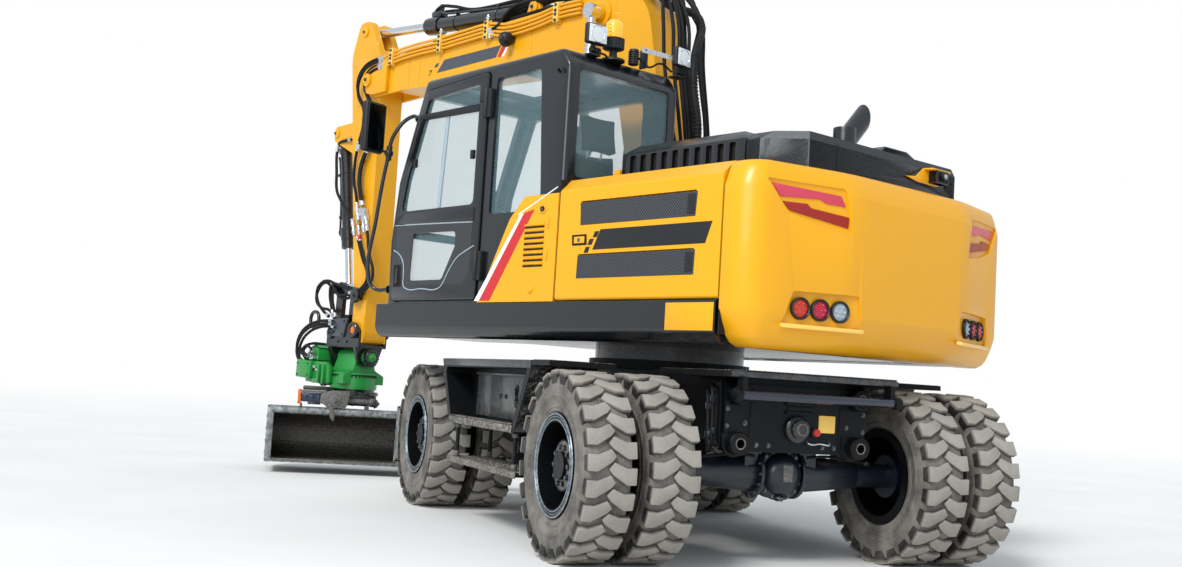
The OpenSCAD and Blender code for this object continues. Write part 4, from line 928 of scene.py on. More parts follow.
def build_tail():
    """The counterweight with beds carved for its reflectors and lamps, on both slanted corners."""
    levels = ((1.24, 0.15), (1.262, 0.098), (1.3, 0.062), (1.375, 0.024), (1.428, 0.004), (1.45, 0),
        (2.112, 0), (2.128, 0.003), (2.215, 0.036), (2.245, 0.052), (2.262, 0.072), (2.2695, 0.105))
    shell = lofted([tail_outline(z, inset) for z, inset in levels])
    reflector_bed = [(0.604, 2.162), (0.074, 2.157), (0.023, 1.901), (0.251, 1.931), (0.466, 1.987)]
    lamp_bed = [(0.406, 1.56), (-0.052, 1.566), (-0.078, 1.372), (0.474, 1.364)]
    cuts = []
    for bed, depth in ((reflector_bed, 0.022), (lamp_bed, 0.03)):
        cutter = cut_plate(bed, "yz", -0.15, depth, rounded=0.014)
        cuts.append(pair(slanted(cutter)))
    shell = carved(shell, *cuts)
    tail = Piece("counterweight_shell", "upper")
    tail.add(yellow, soften(shell, 0.005, 2, 40))
    # A dark strip in the joint at the counterweight's side: painted shade.
    tail.add(seam_shade, cut_plate([(-1.632, 1.2), (-1.6225, 1.2), (-1.6225, 1.247), (-1.632, 1.247)], "xy",
        1.3, 2.12))
    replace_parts(tail.settle(38), "counterweight")
    trim = Piece("tail_lamps", "upper")
    # The lamp bed's lower lip is painted pale: a painted highlight where the ledge catches the light.
    lit_lip = cut_plate([(-0.006, 1.378), (0.03, 1.384), (0.03, 1.364), (-0.004, 1.356)], "xz", -0.075, 0.472,
        0.002)
    trim.add(cream, pair(slanted(lit_lip)))
    for y, tint in ((0.342, orange_lens), (0.21, red_lens), (0.076, clear_lens)):
        spot = SLANT_LOCAL @ Vector((0.024, y, 1.468))
        out = SLANT_LOCAL.to_3x3() @ Vector(BACK)
        lamp(spot, out, 0.062, tint, trim)
        lamp(Vector((spot.x, -spot.y, spot.z)), Vector((out.x, -out.y, 0)), 0.062, tint, trim)
    upper_red = [(0.567, 2.139), (0.103, 2.116), (0.068, 2.058), (0.2, 2.062), (0.25, 2.082), (0.33, 2.078),
        (0.511, 2.07)]
    lower_red = [(0.493, 2.045), (0.328, 2.047), (0.303, 2.026), (0.044, 2.002), (0.047, 1.939), (0.443, 2.0)]
    trim.add(rose_film, pair(slanted(cut_plate(upper_red, "yz", 0.014, 0.024, 0.003))))
    trim.add(deep_film, pair(slanted(cut_plate(lower_red, "yz", 0.014, 0.024, 0.003))))
    trim.settle()


# Hood, exhaust and camera

STACK = (-1.67, 0.285)
HOOD_Z, HOOD_TAIL_Z = 2.2755, 2.2705


def build_hood():
    """The hood's lid with its slots, the low tail behind it, the exhaust and the camera on its bracket."""
    lid = Piece("hood_cover", "hood_lid")
    plan = [(-0.445, 0.955), (-1.488, 0.955), (-1.488, -0.955), (-0.445, -0.955)]
    slots = [cut_plate([(x, 2.318), (x, 2.43), (x - 0.044, 2.43), (x - 0.044, 2.318)], "xz", 0.925, 1.0,
        rounded=0.008) for x in (-0.52 - 0.094 * i for i in range(10))]
    body = carved(crowned(plan, HOOD_Z, 0.172, 0.075, 0.06), pair(joined(*slots)))
    lid.add(black, soften(body, 0.006, 2, 30))
    # Dark plates behind the side slots: painted shade inside the hood.
    lid.add(seam_shade, *[box_of(-1.44, -0.48, s * 0.922, s * 0.928, 2.31, 2.436, 0) for s in (1, -1)])
    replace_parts(lid.settle(30), "hood_lid")
    tail = Piece("hood_tail", "upper")
    plan = [(-1.5, 0.955), (-1.6, 0.955), (-1.83, 0.8), (-1.83, -0.64), (-1.5, -0.64)]
    tail.add(black, soften(crowned(plan, HOOD_TAIL_Z, 0.165, 0.05, 0.04), 0.005, 2, 25))
    # A dark strip in the tail's seam: painted shade.
    tail.add(seam_shade, box_of(-1.832, -1.79, 0.548, 0.553, 2.275, 2.44, 0))
    tail.add(black, cut_plate([(0.115, 2.46), (0.06, 2.515), (-0.16, 2.515), (-0.27, 2.46)], "yz", -1.8,
        -1.52, 0.006))
    tail.settle(30)
    pipe = Piece("exhaust_pipe", "upper")
    pipe.add(black, rod_of((*STACK, 2.46), "z", 0.14, 0.07, 32, 0.006))
    slope = turned_of([(0.052, 0.34), (0.06, 0.345), (0.064, 0.34), (0.064, 0.0), (0.052, 0.0)],
        (-1.67, 0.3, 2.5), (0, -0.19, 0.2), 36)
    bmesh.ops.bisect_plane(slope, geom=slope.verts[:] + slope.edges[:] + slope.faces[:],
        plane_co=(-1.67, 0.125, 2.6), plane_no=(0, -1, 0.02), clear_outer=True)
    pipe.add(black, slope)
    # A dark disc inside the outlet: painted shade in the pipe.
    pipe.add(seam_shade, turned_of([(0, 0.12), (0.0525, 0.12)], (-1.67, 0.3, 2.5), (0, -0.19, 0.2), 24))
    pipe.add(worn, ring_of((*STACK, 2.475), UP, 0.071, 0.006))
    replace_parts(pipe.settle(), "exhaust")
    eye = Piece("rear_camera", "upper")
    arm = cut_plate([(-0.1, 2.36), (-0.2, 2.372), (-0.275, 2.432), (-0.4, 2.432), (-0.5, 2.428),
        (-0.52, 2.36), (-0.42, 2.335), (-0.22, 2.34)], "yz", -1.845, -1.832, 0.003)
    eye.add(yellow, arm, cut_plate([(-1.834, -0.28), (-1.9, -0.3), (-1.9, -0.49), (-1.834, -0.51)], "xy",
        2.424, 2.434, 0.003))
    eye.add(plastic, box_of(-1.905, -1.845, -0.46, -0.335, 2.345, 2.425, 0.008))
    eye.add(plastic, rod_of((-1.9, -0.4, 2.39), "x", -0.025, 0.026, 24, 0.003))
    eye.add(clear_lens, rod_of((-1.92, -0.4, 2.39), "x", -0.008, 0.016, 24, 0.003))
    eye.settle()


build_tail()
build_hood()


# Cab: shell, door, windows, seat, roof lamps and mirror

DOOR = 1.2443
CAB_IN, CAB_OUT = 0.25, 1.228


def outline(*corners, steps=5):
    """Corners (x, z, radius) as the points of their arcs."""
    points = []
    for i, (x, z, radius) in enumerate(corners):
        if not radius:
            points.append((x, z))
            continue
        spot = Vector((x, z))
        one = (Vector(corners[i - 1][:2]) - spot).normalized()
        two = (Vector(corners[(i + 1) % len(corners)][:2]) - spot).normalized()
        half = one.angle(two) / 2
        middle = spot + (one + two).normalized() * (radius / sin(half))
        sweep = pi - 2 * half
        u, v = (spot + side * (radius * cos(half) / sin(half)) - middle for side in (one, two))
        for s in range(steps + 1):
            points.append(tuple(middle + (u * sin(sweep * (1 - s / steps))
                + v * sin(sweep * s / steps)) / sin(sweep)))
    return points


def opened(body, corners, low, high):
    """The body with an opening of rounded corners cut through it, from low to high across."""
    return carved(body, cut_plate(outline(*corners), "xz", low, high))


DOOR_EDGE = ((0.65, 1.51, 0.02), (1.7, 1.51, 0.06), (1.722, 1.95, 0.2), (1.664, 2.38, 0.2),
    (1.41, 3.05, 0.05), (0.65, 3.085, 0.03))
DOOR_PANE = ((0.74, 2.17, 0.04), (1.64, 2.17, 0.04), (1.59, 2.4, 0.1), (1.37, 2.98, 0.04), (0.74, 3.01, 0.03))
DOOR_LOW_PANE = ((0.74, 1.64, 0.12), (1.54, 1.64, 0.12), (1.65, 1.9, 0.08), (1.65, 2.09, 0.03),
    (0.74, 2.09, 0.03))
REAR_SIDE_PANE = ((0.02, 2.18, 0.03), (0.28, 2.09, 0.12), (0.57, 2.09, 0.03), (0.57, 3.03, 0.03),
    (0.09, 3.03, 0.04))


def build_cab_shell():
    """The cab's hollow shell with its windows cut through, their seals and the door's hinges."""
    edge = [(-0.2, 1.4), (1.776, 1.4), (1.78, 1.49), (1.8, 1.95), (1.74, 2.4), (1.45, 3.14), (-0.11, 3.14),
        (-0.2, 3.03)]
    body = soften(cut_plate(edge, "xz", CAB_IN, CAB_OUT), 0.036, 4, 30)
    room = cut_plate([(-0.155, 1.55), (1.74, 1.55), (1.755, 1.95), (1.692, 2.38), (1.415, 3.08),
        (-0.1, 3.08)], "xz", 0.295, 1.183)
    body = carved(carved(body, box_of(-0.5, 2.2, 0, 1.5, 1.2, 1.4903, 0)), room)
    way_in = ((0.64, 1.551, 0), (1.7, 1.551, 0.04), (1.712, 1.95, 0.2), (1.654, 2.375, 0.2),
        (1.4, 3.04, 0.04), (0.64, 3.075, 0.01))
    body = opened(body, way_in, 1.1, 1.4)
    grown = [(x - 0.008 if x < 0.7 else x + 0.008, z - 0.008 if z < 1.6 else z + (0 if x > 1.6 else 0.008), r)
        for x, z, r in DOOR_EDGE]
    body = opened(body, grown, CAB_OUT - 0.024, 1.4)
    body = opened(body, REAR_SIDE_PANE, 1.15, 1.4)
    body = opened(body, ((0.1, 2.15, 0.06), (1.64, 2.15, 0.06), (1.6, 2.4, 0.1), (1.36, 2.99, 0.04),
        (0.1, 2.99, 0.06)), 0.1, 0.33)
    body = carved(body, box_of(1.2, 1.9, 0.33, 1.148, 2.06, 3.02, 0))
    body = carved(body, box_of(1.6, 1.9, 0.33, 1.148, 1.62, 2.0, 0),
        box_of(0.5, 1.2, 0.41, 1.068, 3.04, 3.2, 0))
    body = carved(body, cut_plate([(0.34, 2.3), (1.138, 2.3), (1.138, 3.0), (0.34, 3.0)], "yz", -0.35, -0.1,
        rounded=0.03))
    shell = Piece("cab_body", "upper")
    shell.add(black, body)
    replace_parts(shell.settle(35), "cab_shell")
    trim = Piece("cab_seals", "upper")
    trim.add(plastic, inner_frame(outline((0.004, 2.17, 0.03), (0.278, 2.076, 0.12), (0.586, 2.074, 0.03),
        (0.586, 3.046, 0.03), (0.08, 3.046, 0.04)), "xz", 1.222, 1.2305, 0.018, 0.003))
    trim.add(plastic, inner_frame(outline((1.152, 2.29, 0.04), (0.326, 2.29, 0.04), (0.326, 3.012, 0.04),
        (1.152, 3.012, 0.04)), "yz", -0.2035, -0.196, 0.018, 0.003))
    # A thin pale frame on the pane's edge: painted highlight.
    pane = inner_frame([(1.1, 2.3), (0.38, 2.3), (0.38, 2.985), (1.1, 2.985)], "yz", -0.2025, -0.2, 0.004, 0)
    trim.add(pane_glint, pane)
    trim.add(plastic, joined(*[rod_of((0.646, 1.258, z), "z", 0.2, 0.019, 16, 0.004) for z in (1.64, 2.76)]))
    trim.add(plastic, *[box_of(0.586, 0.64, 1.225, 1.262, z, z + 0.2, 0.006) for z in (1.64, 2.76)])
    trim.add(plastic, bar_of((-0.155, 1.1, 3.02), (-0.205, 1.13, 3.02), 0.02, 16),
        *[ring_of((-0.1 - 0.04 * i, 1.232, 2.985), LEFT, 0.012, 0.004) for i in (0, 1)])
    trim.add(plastic, tube_of([(-0.085, 1.23, 2.985), (-0.11, 1.25, 3.0), (-0.14, 1.25, 2.985),
        (-0.155, 1.23, 2.97)], 0.008))
    trim.settle()


def build_cab_door():
    """The door's leaf with both panes cut through, their seals, the bar, the mask and the handle's cup."""
    leaf = cut_plate(outline(*DOOR_EDGE), "xz", DOOR - 0.04, DOOR, 0.01)
    for pane in (DOOR_PANE, DOOR_LOW_PANE):
        leaf = opened(leaf, pane, 1.1, 1.4)
    door = Piece("cab_door_leaf", "cab_door")
    door.add(black, leaf)
    for z in (1.7, 2.88):
        door.add(plastic, rod_of((0.646, 1.258, z), "z", 0.08, 0.014, 16, 0.002),
            box_of(0.646, 0.73, 1.238, 1.252, z, z + 0.08, 0.004))
    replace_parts(door.settle(35), "cab_door")
    trim = Piece("cab_door_trim", "cab_door")
    seal = outline((0.722, 2.152, 0.05), (1.66, 2.152, 0.05), (1.61, 2.405, 0.1), (1.384, 2.998, 0.05),
        (0.722, 3.028, 0.04))
    trim.add(plastic, inner_frame(seal, "xz", *proud(0.012, 0.006, DOOR), 0.026, 0.004))
    trim.add(plastic, plate_on([(1.462, 2.878), (0.735, 2.872), (0.735, 2.822), (1.478, 2.838)], 0.024, 0.003,
        0.003, DOOR))
    # A pale slanted strip behind the upper pane: a painted highlight on a pane's edge.
    trim.add(pane_glint, cut_plate([(1.112, 2.836), (1.15, 2.835), (1.196, 2.172), (1.158, 2.172)], "xz",
        DOOR - 0.02, DOOR - 0.01, 0.002))
    for x in (1.482, 0.765):
        trim.add(plastic, box_of(x, x + 0.036, DOOR - 0.016, DOOR + 0.01, 2.49, 2.552, 0.006))
    trim.add(black, plate_on([(1.69, 2.15), (0.715, 2.146), (0.715, 2.052), (1.705, 2.078)], 0.006, 0.007,
        0.004, DOOR))
    # A pale line along the waist band: painted highlight.
    trim.add(pane_glint, tube_of([(1.702, DOOR + 0.005, 2.07), (1.2, DOOR + 0.005, 2.058),
        (0.718, DOOR + 0.005, 2.044)], 0.0035, 8))
    mask = outline((0.725, 1.622, 0.13), (1.555, 1.622, 0.13), (1.668, 1.9, 0.08), (1.668, 2.07, 0.02),
        (0.725, 2.05, 0.02))
    hole = ((1.467, 1.655, 0.03), (1.452, 2.0, 0.02), (0.925, 1.992, 0.03), (0.918, 1.89, 0.05),
        (1.06, 1.655, 0.04))
    trim.add(gloss_black, opened(plate_on(mask, 0.004, 0.001, level=DOOR), hole, 1.1, 1.4))
    curve = [(1.7, 1.886), (1.64, 1.864), (1.59, 1.83), (1.556, 1.78), (1.543, 1.7), (1.536, 1.622),
        (1.5, 1.598), (1.3, 1.594), (1.09, 1.592), (1.04, 1.62), (0.994, 1.684), (0.94, 1.75), (0.88, 1.804),
        (0.78, 1.848), (0.69, 1.88)]
    # A pale line along the mask's edge: painted highlight.
    trim.add(pane_glint, tube_of([(x, DOOR + 0.003, z) for x, z in curve], 0.0045, 8))
    cup = [(1.576, 1.614), (1.676, 1.612), (1.684, 1.776), (1.586, 1.778)]
    trim.add(plastic, inner_frame(cup, "xz", *proud(0.004, 0.007, DOOR), 0.014, 0.003))
    # The cup's bed is a dark plate: painted shade in the recess.
    trim.add(seam_shade, plate_on(cup, 0.004, 0.0012, level=DOOR))
    trim.add(black, box_of(1.618, 1.646, DOOR + 0.001, DOOR + 0.01, 1.64, 1.752, 0.004))
    trim.settle()


def pad_of(x0, x1, y0, y1, z0, z1, lean=0.0):
    """A crowned cushion: thin at its rim, its sides pulled in between the corners, two channels across it."""
    bm = bmesh.new()
    bmesh.ops.create_cube(bm, size=2)
    bmesh.ops.subdivide_edges(bm, edges=bm.edges[:], cuts=15, use_grid_fill=True)
    half = Vector((x1 - x0, y1 - y0, z1 - z0)) / 2
    for v in bm.verts:
        a, b, c = v.co
        rim = max(abs(a), abs(b))
        swell = 1.0 - 0.42 * rim ** 5 + 0.1 * (1 - a * a) * (1 - b * b)
        channel = sum(max(0.0, 1 - abs(b - at) / 0.1) for at in (-0.42, 0.42)) * 0.1
        v.co = Vector((a * (1 - 0.07 * (1 - b * b) * abs(a)) * half.x,
            b * (1 - 0.07 * (1 - a * a) * abs(b)) * half.y,
            c * (swell - (channel if abs(c) > 0.9 else 0)) * half.z))
    bmesh.ops.rotate(bm, verts=bm.verts[:], cent=(0, 0, 0), matrix=Matrix.Rotation(lean, 3, "Y"))
    return moved(bm, ((x0 + x1) / 2, (y0 + y1) / 2, (z0 + z1) / 2))


def build_seat():
    """Three padded pieces on a base with its bellows."""
    pads = (("seat_cushion", pad_of(0.15, 0.7, 0.49, 0.99, 1.75, 1.88)),
        ("seat_back", pad_of(-0.2, 0.48, 0.505, 0.975, 2.13, 2.29, radians(-81.5))),
        ("headrest", pad_of(-0.065, 0.165, 0.61, 0.87, 2.605, 2.715, radians(-82))))
    for name, shape in pads:
        pad = Piece(name, "upper").add(cloth, shape).settle(60, 1)
        if name == "seat_cushion":
            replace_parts(pad, "seat")
    base = Piece("seat_base", "upper")
    base.add(plastic, box_of(0.19, 0.63, 0.53, 0.95, 1.5503, 1.6, 0.01),
        box_of(0.2, 0.62, 0.54, 0.94, 1.68, 1.752, 0.02))
    for i in range(4):
        base.add(plastic, box_of(0.215 + 0.004 * (i % 2), 0.605, 0.555, 0.925, 1.598 + 0.021 * i,
            1.617 + 0.021 * i, 0.006))
    base.add(plastic, bar_of((0.1, 0.5, 1.86), (0.16, 0.5, 1.8), 0.03, 16),
        bar_of((0.1, 0.98, 1.86), (0.16, 0.98, 1.8), 0.03, 16))
    base.add(bright, *[bar_of((0.085, y, 2.5), (0.06, y, 2.62), 0.008, 12) for y in (0.68, 0.8)])
    base.settle()


def build_roof_lamps():
    """Work lamps at both rear corners, the beacon between them, and a plated bracket with its relay."""
    rig = Piece("roof_lights", "upper")
    for y, x, tilt in ((0.985, -0.13, -6), (0.235, -0.17, 8)):
        for finish, shape in ((plastic, box_of(-0.045, 0.0, -0.082, 0.082, -0.07, 0.07, 0.018, 4)),
                (white_lens, box_of(-0.052, -0.046, -0.07, 0.07, -0.058, 0.058, 0.006)),
                (bright, ring_of((-0.05, 0, 0), AHEAD, 0.055, 0.005))):
            rig.add(finish, moved(shape, (x, y, 3.268), radians(tilt)))
        rig.add(plastic, bar_of((x, y, 3.205), (x + 0.02, y, 3.13), 0.016, 16),
            box_of(x - 0.03, x + 0.055, y - 0.045, y + 0.045, 3.128, 3.142, 0.004))
        rig.add(plastic, *[rod_of((x - 0.005, y - 0.03 * i, 3.168), "y", -0.022, 0.021, 14, 0.004)
            for i in (-1, 0, 1)])
    foot = (-0.12, 0.8, 3.13)
    rig.add(plastic, turned_of([(0, 0), (0.082, 0), (0.08, 0.014), (0.03, 0.026), (0.024, 0.075),
        (0.06, 0.082)], foot, UP))
    rig.add(plastic, turned_of([(0.06, 0.08)] + [(0.066 + 0.004 * (i % 2), 0.082 + 0.01 * i)
        for i in range(8)] + [(0.06, 0.158)], foot, UP))
    rig.add(plastic, *[rod_of((x, y, foot[2] + 0.085), "z", 0.07, 0.006, 8)
        for x, y, _ in circle_of(22, 0.067, foot, UP)])
    rig.add(amber_lens, turned_of([(0.058, 0.156), (0.062, 0.162), (0.062, 0.235), (0.056, 0.262),
        (0.036, 0.28), (0, 0.286)], foot, UP))
    arm = cut_plate([(0.61, 3.262), (0.61, 3.226), (0.3, 3.232), (0.288, 3.246), (0.3, 3.266)], "yz", -0.196,
        -0.192, 0.001)
    for y in (0.57, 0.345):
        arm = carved(arm, rod_of((-0.3, y, 3.248), "x", 0.2, 0.008))
    rig.add(plated, arm)
    rig.add(plastic, box_of(-0.19, -0.12, 0.545, 0.56, 3.13, 3.26, 0.003),
        rod_of((-0.15, 0.64, 3.136), "z", 0.109, 0.032, 20, 0.006))
    rig.add(plastic, *[ring_of((-0.15, 0.64, 3.145 + 0.016 * i), UP, 0.033, 0.005, 24, 8) for i in range(6)])
    rig.add(hose_black, tube_of([(-0.15, 0.615, 3.2), (-0.18, 0.56, 3.16), (-0.16, 0.5, 3.15),
        (-0.18, 0.42, 3.19), (-0.17, 0.3, 3.16)], 0.007))
    rig.add(hose_black, tube_of([(-0.13, 0.985, 3.15), (-0.16, 0.93, 3.15), (-0.13, 0.86, 3.148),
        (-0.1, 0.83, 3.146)], 0.007))
    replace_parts(rig.settle(), "roof_lamps")


def build_mirror():
    """The grab rail up the front corner, with the mirror on its arm."""
    rig = Piece("rail_and_mirror", "upper")
    rail = [(1.5576, 1.195, 2.8663), (1.64, 1.205, 2.895), (1.745, 1.285, 2.76), (1.79, 1.3, 2.58),
        (1.89, 1.3, 2.14), (1.955, 1.29, 1.68), (1.935, 1.255, 1.61), (1.7866, 1.205, 1.6)]
    rig.add(black, tube_of(rail, 0.015, 12, 8))
    rig.add(black, bar_of((1.5576, 1.195, 2.8663), (1.575, 1.196, 2.873), 0.03, 20, 0.004),
        rod_of((1.787, 1.205, 1.6), "x", 0.013, 0.032, 20, 0.004))
    rig.add(plastic, ball_of((1.782, 1.3, 2.615), 0.034),
        bar_of((1.782, 1.3, 2.56), (1.776, 1.3, 2.67), 0.022, 16, 0.004))
    rig.add(plastic, tube_of([(1.782, 1.3, 2.615), (1.79, 1.36, 2.628), (1.8, 1.42, 2.65),
        (1.805, 1.43, 2.7)], 0.01))
    case = soften(box_of(1.772, 1.832, 1.34, 1.54, 2.6, 2.98, 0.024, 4), 0.004)
    edges = [box_of(1.764, 1.775, y, y + 0.006, 2.615, 2.965, 0.002) for y in (1.352, 1.517)]
    for finish, shape in ((plastic, case),
            (mirror_blue, box_of(1.767, 1.774, 1.358, 1.522, 2.622, 2.958, 0.003)),
            (plastic, joined(*edges))):
        rig.add(finish, moved(shape, turn=radians(12), centre=(1.8, 1.44, 2.79)))
    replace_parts(rig.settle(), "grab_rail")


build_cab_shell()
build_cab_door()
build_seat()
build_roof_lamps()
build_mirror()


# Arm: boom, stick, their cylinders and hoses

BOOM_EDGE = ((0.02, 1.66, 0.115), (0.19, 1.66, 0.105), (0.56, 2.72, 0.9), (0.76, 3.5, 0.3), (1.7, 3.5, 0.9),
    (3.7, 3.61, 0.4), (4.18, 3.6, 0.1), (4.4, 3.7, 0.13), (4.38, 3.9, 0.12), (3.5, 3.975, 0.5),
    (1.6, 3.98, 0.9), (0.42, 3.99, 0.42), (0.15, 2.72, 0.9), (-0.04, 1.88, 0.12))
STICK_EDGE = ((4.105, 1.23, 0.11), (4.33, 1.23, 0.11), (4.34, 1.65, 0.06), (4.57, 3.1, 0.9),
    (4.715, 4.08, 0.3), (4.59, 4.4, 0.09), (4.4, 4.4, 0.1), (4.11, 3.9, 0.14), (4.12, 3.5, 0.3))
PIPES = ((1.127, 3.925), (1.39, 3.932), (1.7, 3.905), (2.08, 3.902), (2.316, 3.945), (2.7, 3.95),
    (3.055, 3.945), (3.5, 3.952), (3.8, 3.942))

LIFT_Y = 0.261
LIFT_BASE, LIFT_EYE = (0.95, 1.585), (0.9, 3.82)
CROWD_BASE, CROWD_EYE = (1.82, 4.06), (4.48, 4.3)
DUMP_BASE, DUMP_EYE = (4.93, 3.34), (4.64, 1.775)
STICK_PIN, ROCKER_PIN, LINK_PIN, TOOL_PIN = (4.25, 3.77), (4.215, 1.69), (4.66, 1.33), (4.22, 1.36)
HOSE_R, RIB_GAP = 0.0145, 0.026
BOOM_SIDE, STICK_SIDE, PIPE_Y = 0.155, 0.12, 0.182


def cap_of(profile, pin, side=1, steps=32):
    """A profile turned about a pin of the arm, on one side of it."""
    return turned_of(profile, (pin[0], 0, pin[1]), (0, side, 0), steps)


def head_on(pin, out, side=1, radius=0.014, height=0.012):
    """A bolt's head on a pin of the arm, out from the middle."""
    return bolt_of((pin[0], out * side, pin[1]), (0, side, 0), radius, height)


def hoses(name, body, radius, *runs, ends=0.0):
    """Hoses through points of the boom's plane, with a crimped steel sleeve at each end where asked for."""
    piece = Piece(name, body, BOOM)
    for run in runs:
        piece.add(hose_black, tube_of(run, radius, 12))
        if ends:
            for tip, inner in ((run[0], run[1]), (run[-1], run[-2])):
                back = Vector(tip) + (Vector(inner) - Vector(tip)).normalized() * ends
                piece.add(plated, bar_of(tip, back, radius * 1.22, 14, 0.002))
                piece.add(plated, bar_of(tip, Vector(tip) + (back - Vector(tip)) * 0.35, radius * 1.5, 6,
                    0.002))
    return piece


def spread(run, *steps):
    """Copies of a run set off by steps of (x, y, z)."""
    return [[(x + dx, y + dy, z + dz) for x, y, z in run] for dx, dy, dz in steps]


def side_edge(corners, half, width, out):
    """The edges of the upper and lower flanges, standing a little out of both sides."""
    return pair(inner_frame(outline(*corners, steps=6), "xz", half - 0.004, half + out, width, 0.002))


def build_boom():
    """The boom's flange edges, cheeks, seams and pin caps, and the blank plate on each side."""
    trim = Piece("boom_trim", "boom", BOOM)
    trim.add(yellow, side_edge(BOOM_EDGE, BOOM_SIDE, 0.02, 0.005))
    cheek = [(3.93, 3.622), (4.17, 3.616), (4.3, 3.65), (4.372, 3.72), (4.372, 3.81), (4.33, 3.88),
        (4.2, 3.912), (3.93, 3.925)]
    trim.add(yellow, pair(cut_plate(cheek, "xz", 0.154, 0.196, 0.008)))
    for x, z0, z1 in ((3.59, 3.628, 3.948), (3.41, 3.618, 3.956), (1.76, 3.53, 3.962), (0.74, 3.56, 3.962)):
        trim.add(yellow, pair(box_of(x, x + 0.01, 0.153, 0.158, z0, z1, 0.002)))
    for pin, r, out in ((STICK_PIN, 0.062, 0.196), (LIFT_EYE, 0.105, 0.155), (CROWD_BASE, 0.052, 0.106)):
        rim = [(0, out + 0.03), (r * 0.55, out + 0.03), (r * 0.62, out + 0.024), (r, out + 0.022),
            (r * 1.04, out + 0.012), (r * 1.04, out - 0.01)]
        trim.add(yellow, pair(cap_of(rim, pin, steps=40)))
        trim.add(pin_steel, pair(head_on(pin, out + 0.03)))
    trim.add(yellow, pair(cap_of([(0, 0.218), (0.03, 0.218), (0.034, 0.214), (0.034, 0.19)], STICK_PIN)))
    for x, z in ((0.96, 3.905), (2.06, 3.7), (3.25, 3.7)):
        trim.add(yellow, pair(rod_of((x, BOOM_SIDE - 0.002, z), "y", 0.014, 0.02, 20, 0.003)))
    trim.settle(35)
    film = Piece("boom_plate", "boom", BOOM)
    blank = [(3.022, 3.792), (2.182, 3.79), (2.25, 3.692), (3.131, 3.687)]
    film.add(slate_film, pair(cut_plate(blank, "xz", 0.154, 0.1565)))
    film.add(flat_red, pair(cut_plate([(2.16, 3.79), (2.108, 3.766), (2.172, 3.688), (2.228, 3.692)], "xz",
        0.154, 0.1566)))
    film.add(flat_white, pair(cut_plate([(2.108, 3.766), (2.08, 3.752), (2.14, 3.686), (2.172, 3.688)], "xz",
        0.154, 0.1566)))
    for x, z in ((3.1, 3.775), (3.205, 3.727)):
        film.add(slate_film, pair(cut_plate([(x, z), (x + 0.05, z), (x + 0.078, z - 0.034),
            (x + 0.028, z - 0.034)], "xz", 0.154, 0.1566)))
    film.settle()


def build_boom_pipes():
    """Steel pipes along the boom's left side in clamps, and the hoses over its back."""
    rig = Piece("boom_lines", "boom", BOOM)
    for i, drop in enumerate((0.045, 0.012, -0.022, -0.055)):
        run = [(x, PIPE_Y, z + drop) for x, z in PIPES] + [(4.01, PIPE_Y, 3.915 + drop)]
        rig.add(yellow, tube_of(run, 0.0125, 12))
        rig.add(plated, bar_of((4.0, PIPE_Y, 3.918 + drop), (4.06, PIPE_Y, 3.908 + drop), 0.019, 6, 0.002))
    for x in (1.42, 2.36, 3.065, 3.86):
        z = 3.945 if x > 2 else 3.928
        rig.add(yellow, box_of(x - 0.03, x + 0.03, 0.1553, 0.168, z - 0.095, z + 0.085, 0.003))
        rig.add(cream, box_of(x - 0.028, x + 0.028, 0.166, 0.2, z - 0.082, z + 0.072, 0.006),
            box_of(x - 0.03, x + 0.03, 0.199, 0.205, z - 0.085, z + 0.075, 0.002))
        rig.add(pin_steel, *[bolt_of((x, 0.204, z + dz), LEFT, 0.011, 0.01)
            for dz in (-0.07, -0.022, 0.01, 0.055)])
    for x in (2.36, 3.065):
        rig.add(plated, rod_of((x, PIPE_Y, 4.02), "z", 0.055, 0.014, 6, 0.002),
            rod_of((x - 0.025, PIPE_Y, 4.05), "x", 0.05, 0.01, 12, 0.002))
    for y in (-0.128, -0.09, 0.09, 0.128):
        far = 3.25 if abs(y) > 0.1 else 1.56
        rig.add(hose_black, tube_of([(0.62, y, 4.011), (1.2, y + 0.003, 4.01), (far * 0.75, y - 0.003, 4.007),
            (far, y, 4.004)], 0.014, 12))
        for x in ((0.7, 1.5, 2.3, 3.1) if abs(y) > 0.1 else (0.7, 1.4)):
            rig.add(plastic, box_of(x - 0.022, x + 0.022, y - 0.018, y + 0.018, 3.976, 4.027, 0.005))
    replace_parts(rig.settle(), "boom_pipes")
    rise = [(2.33, 0.186, 3.93), (2.19, 0.19, 3.96), (2.13, 0.178, 4.03), (2.05, 0.15, 4.096),
        (1.9, 0.125, 4.118), (1.6, 0.12, 4.085), (1.2, 0.118, 4.05), (0.8, 0.115, 4.035), (0.48, 0.112, 4.01)]
    runs = [[(x + 0.03 * i * (z > 3.95), y - 0.022 * i * (x < 2.2), z - 0.02 * i + 0.022 * i * (x < 1.7))
        for x, y, z in rise] for i in range(4)]
    hoses("boom_top_hoses", "boom", HOSE_R, *runs, ends=0.055).settle()
    tip = [(4.04, 0.182, 3.96), (4.2, 0.186, 3.955), (4.35, 0.188, 3.914), (4.455, 0.186, 3.8),
        (4.45, 0.175, 3.665), (4.36, 0.165, 3.54), (4.345, 0.158, 3.35), (4.42, 0.156, 3.15)]
    low = [(4.04, 0.182, 3.895), (4.15, 0.188, 3.892), (4.262, 0.19, 3.86), (4.335, 0.188, 3.771),
        (4.3, 0.178, 3.665), (4.205, 0.168, 3.54), (4.2, 0.16, 3.34), (4.24, 0.158, 3.12)]
    for i, run in enumerate((tip, low)):
        bend = hoses(f"tip_hoses_{i + 1}", "boom", HOSE_R, *spread(run, (0, 0, 0), (-0.024, 0.008, -0.034)),
            ends=0.05).settle(ride=False)
        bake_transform(bend)


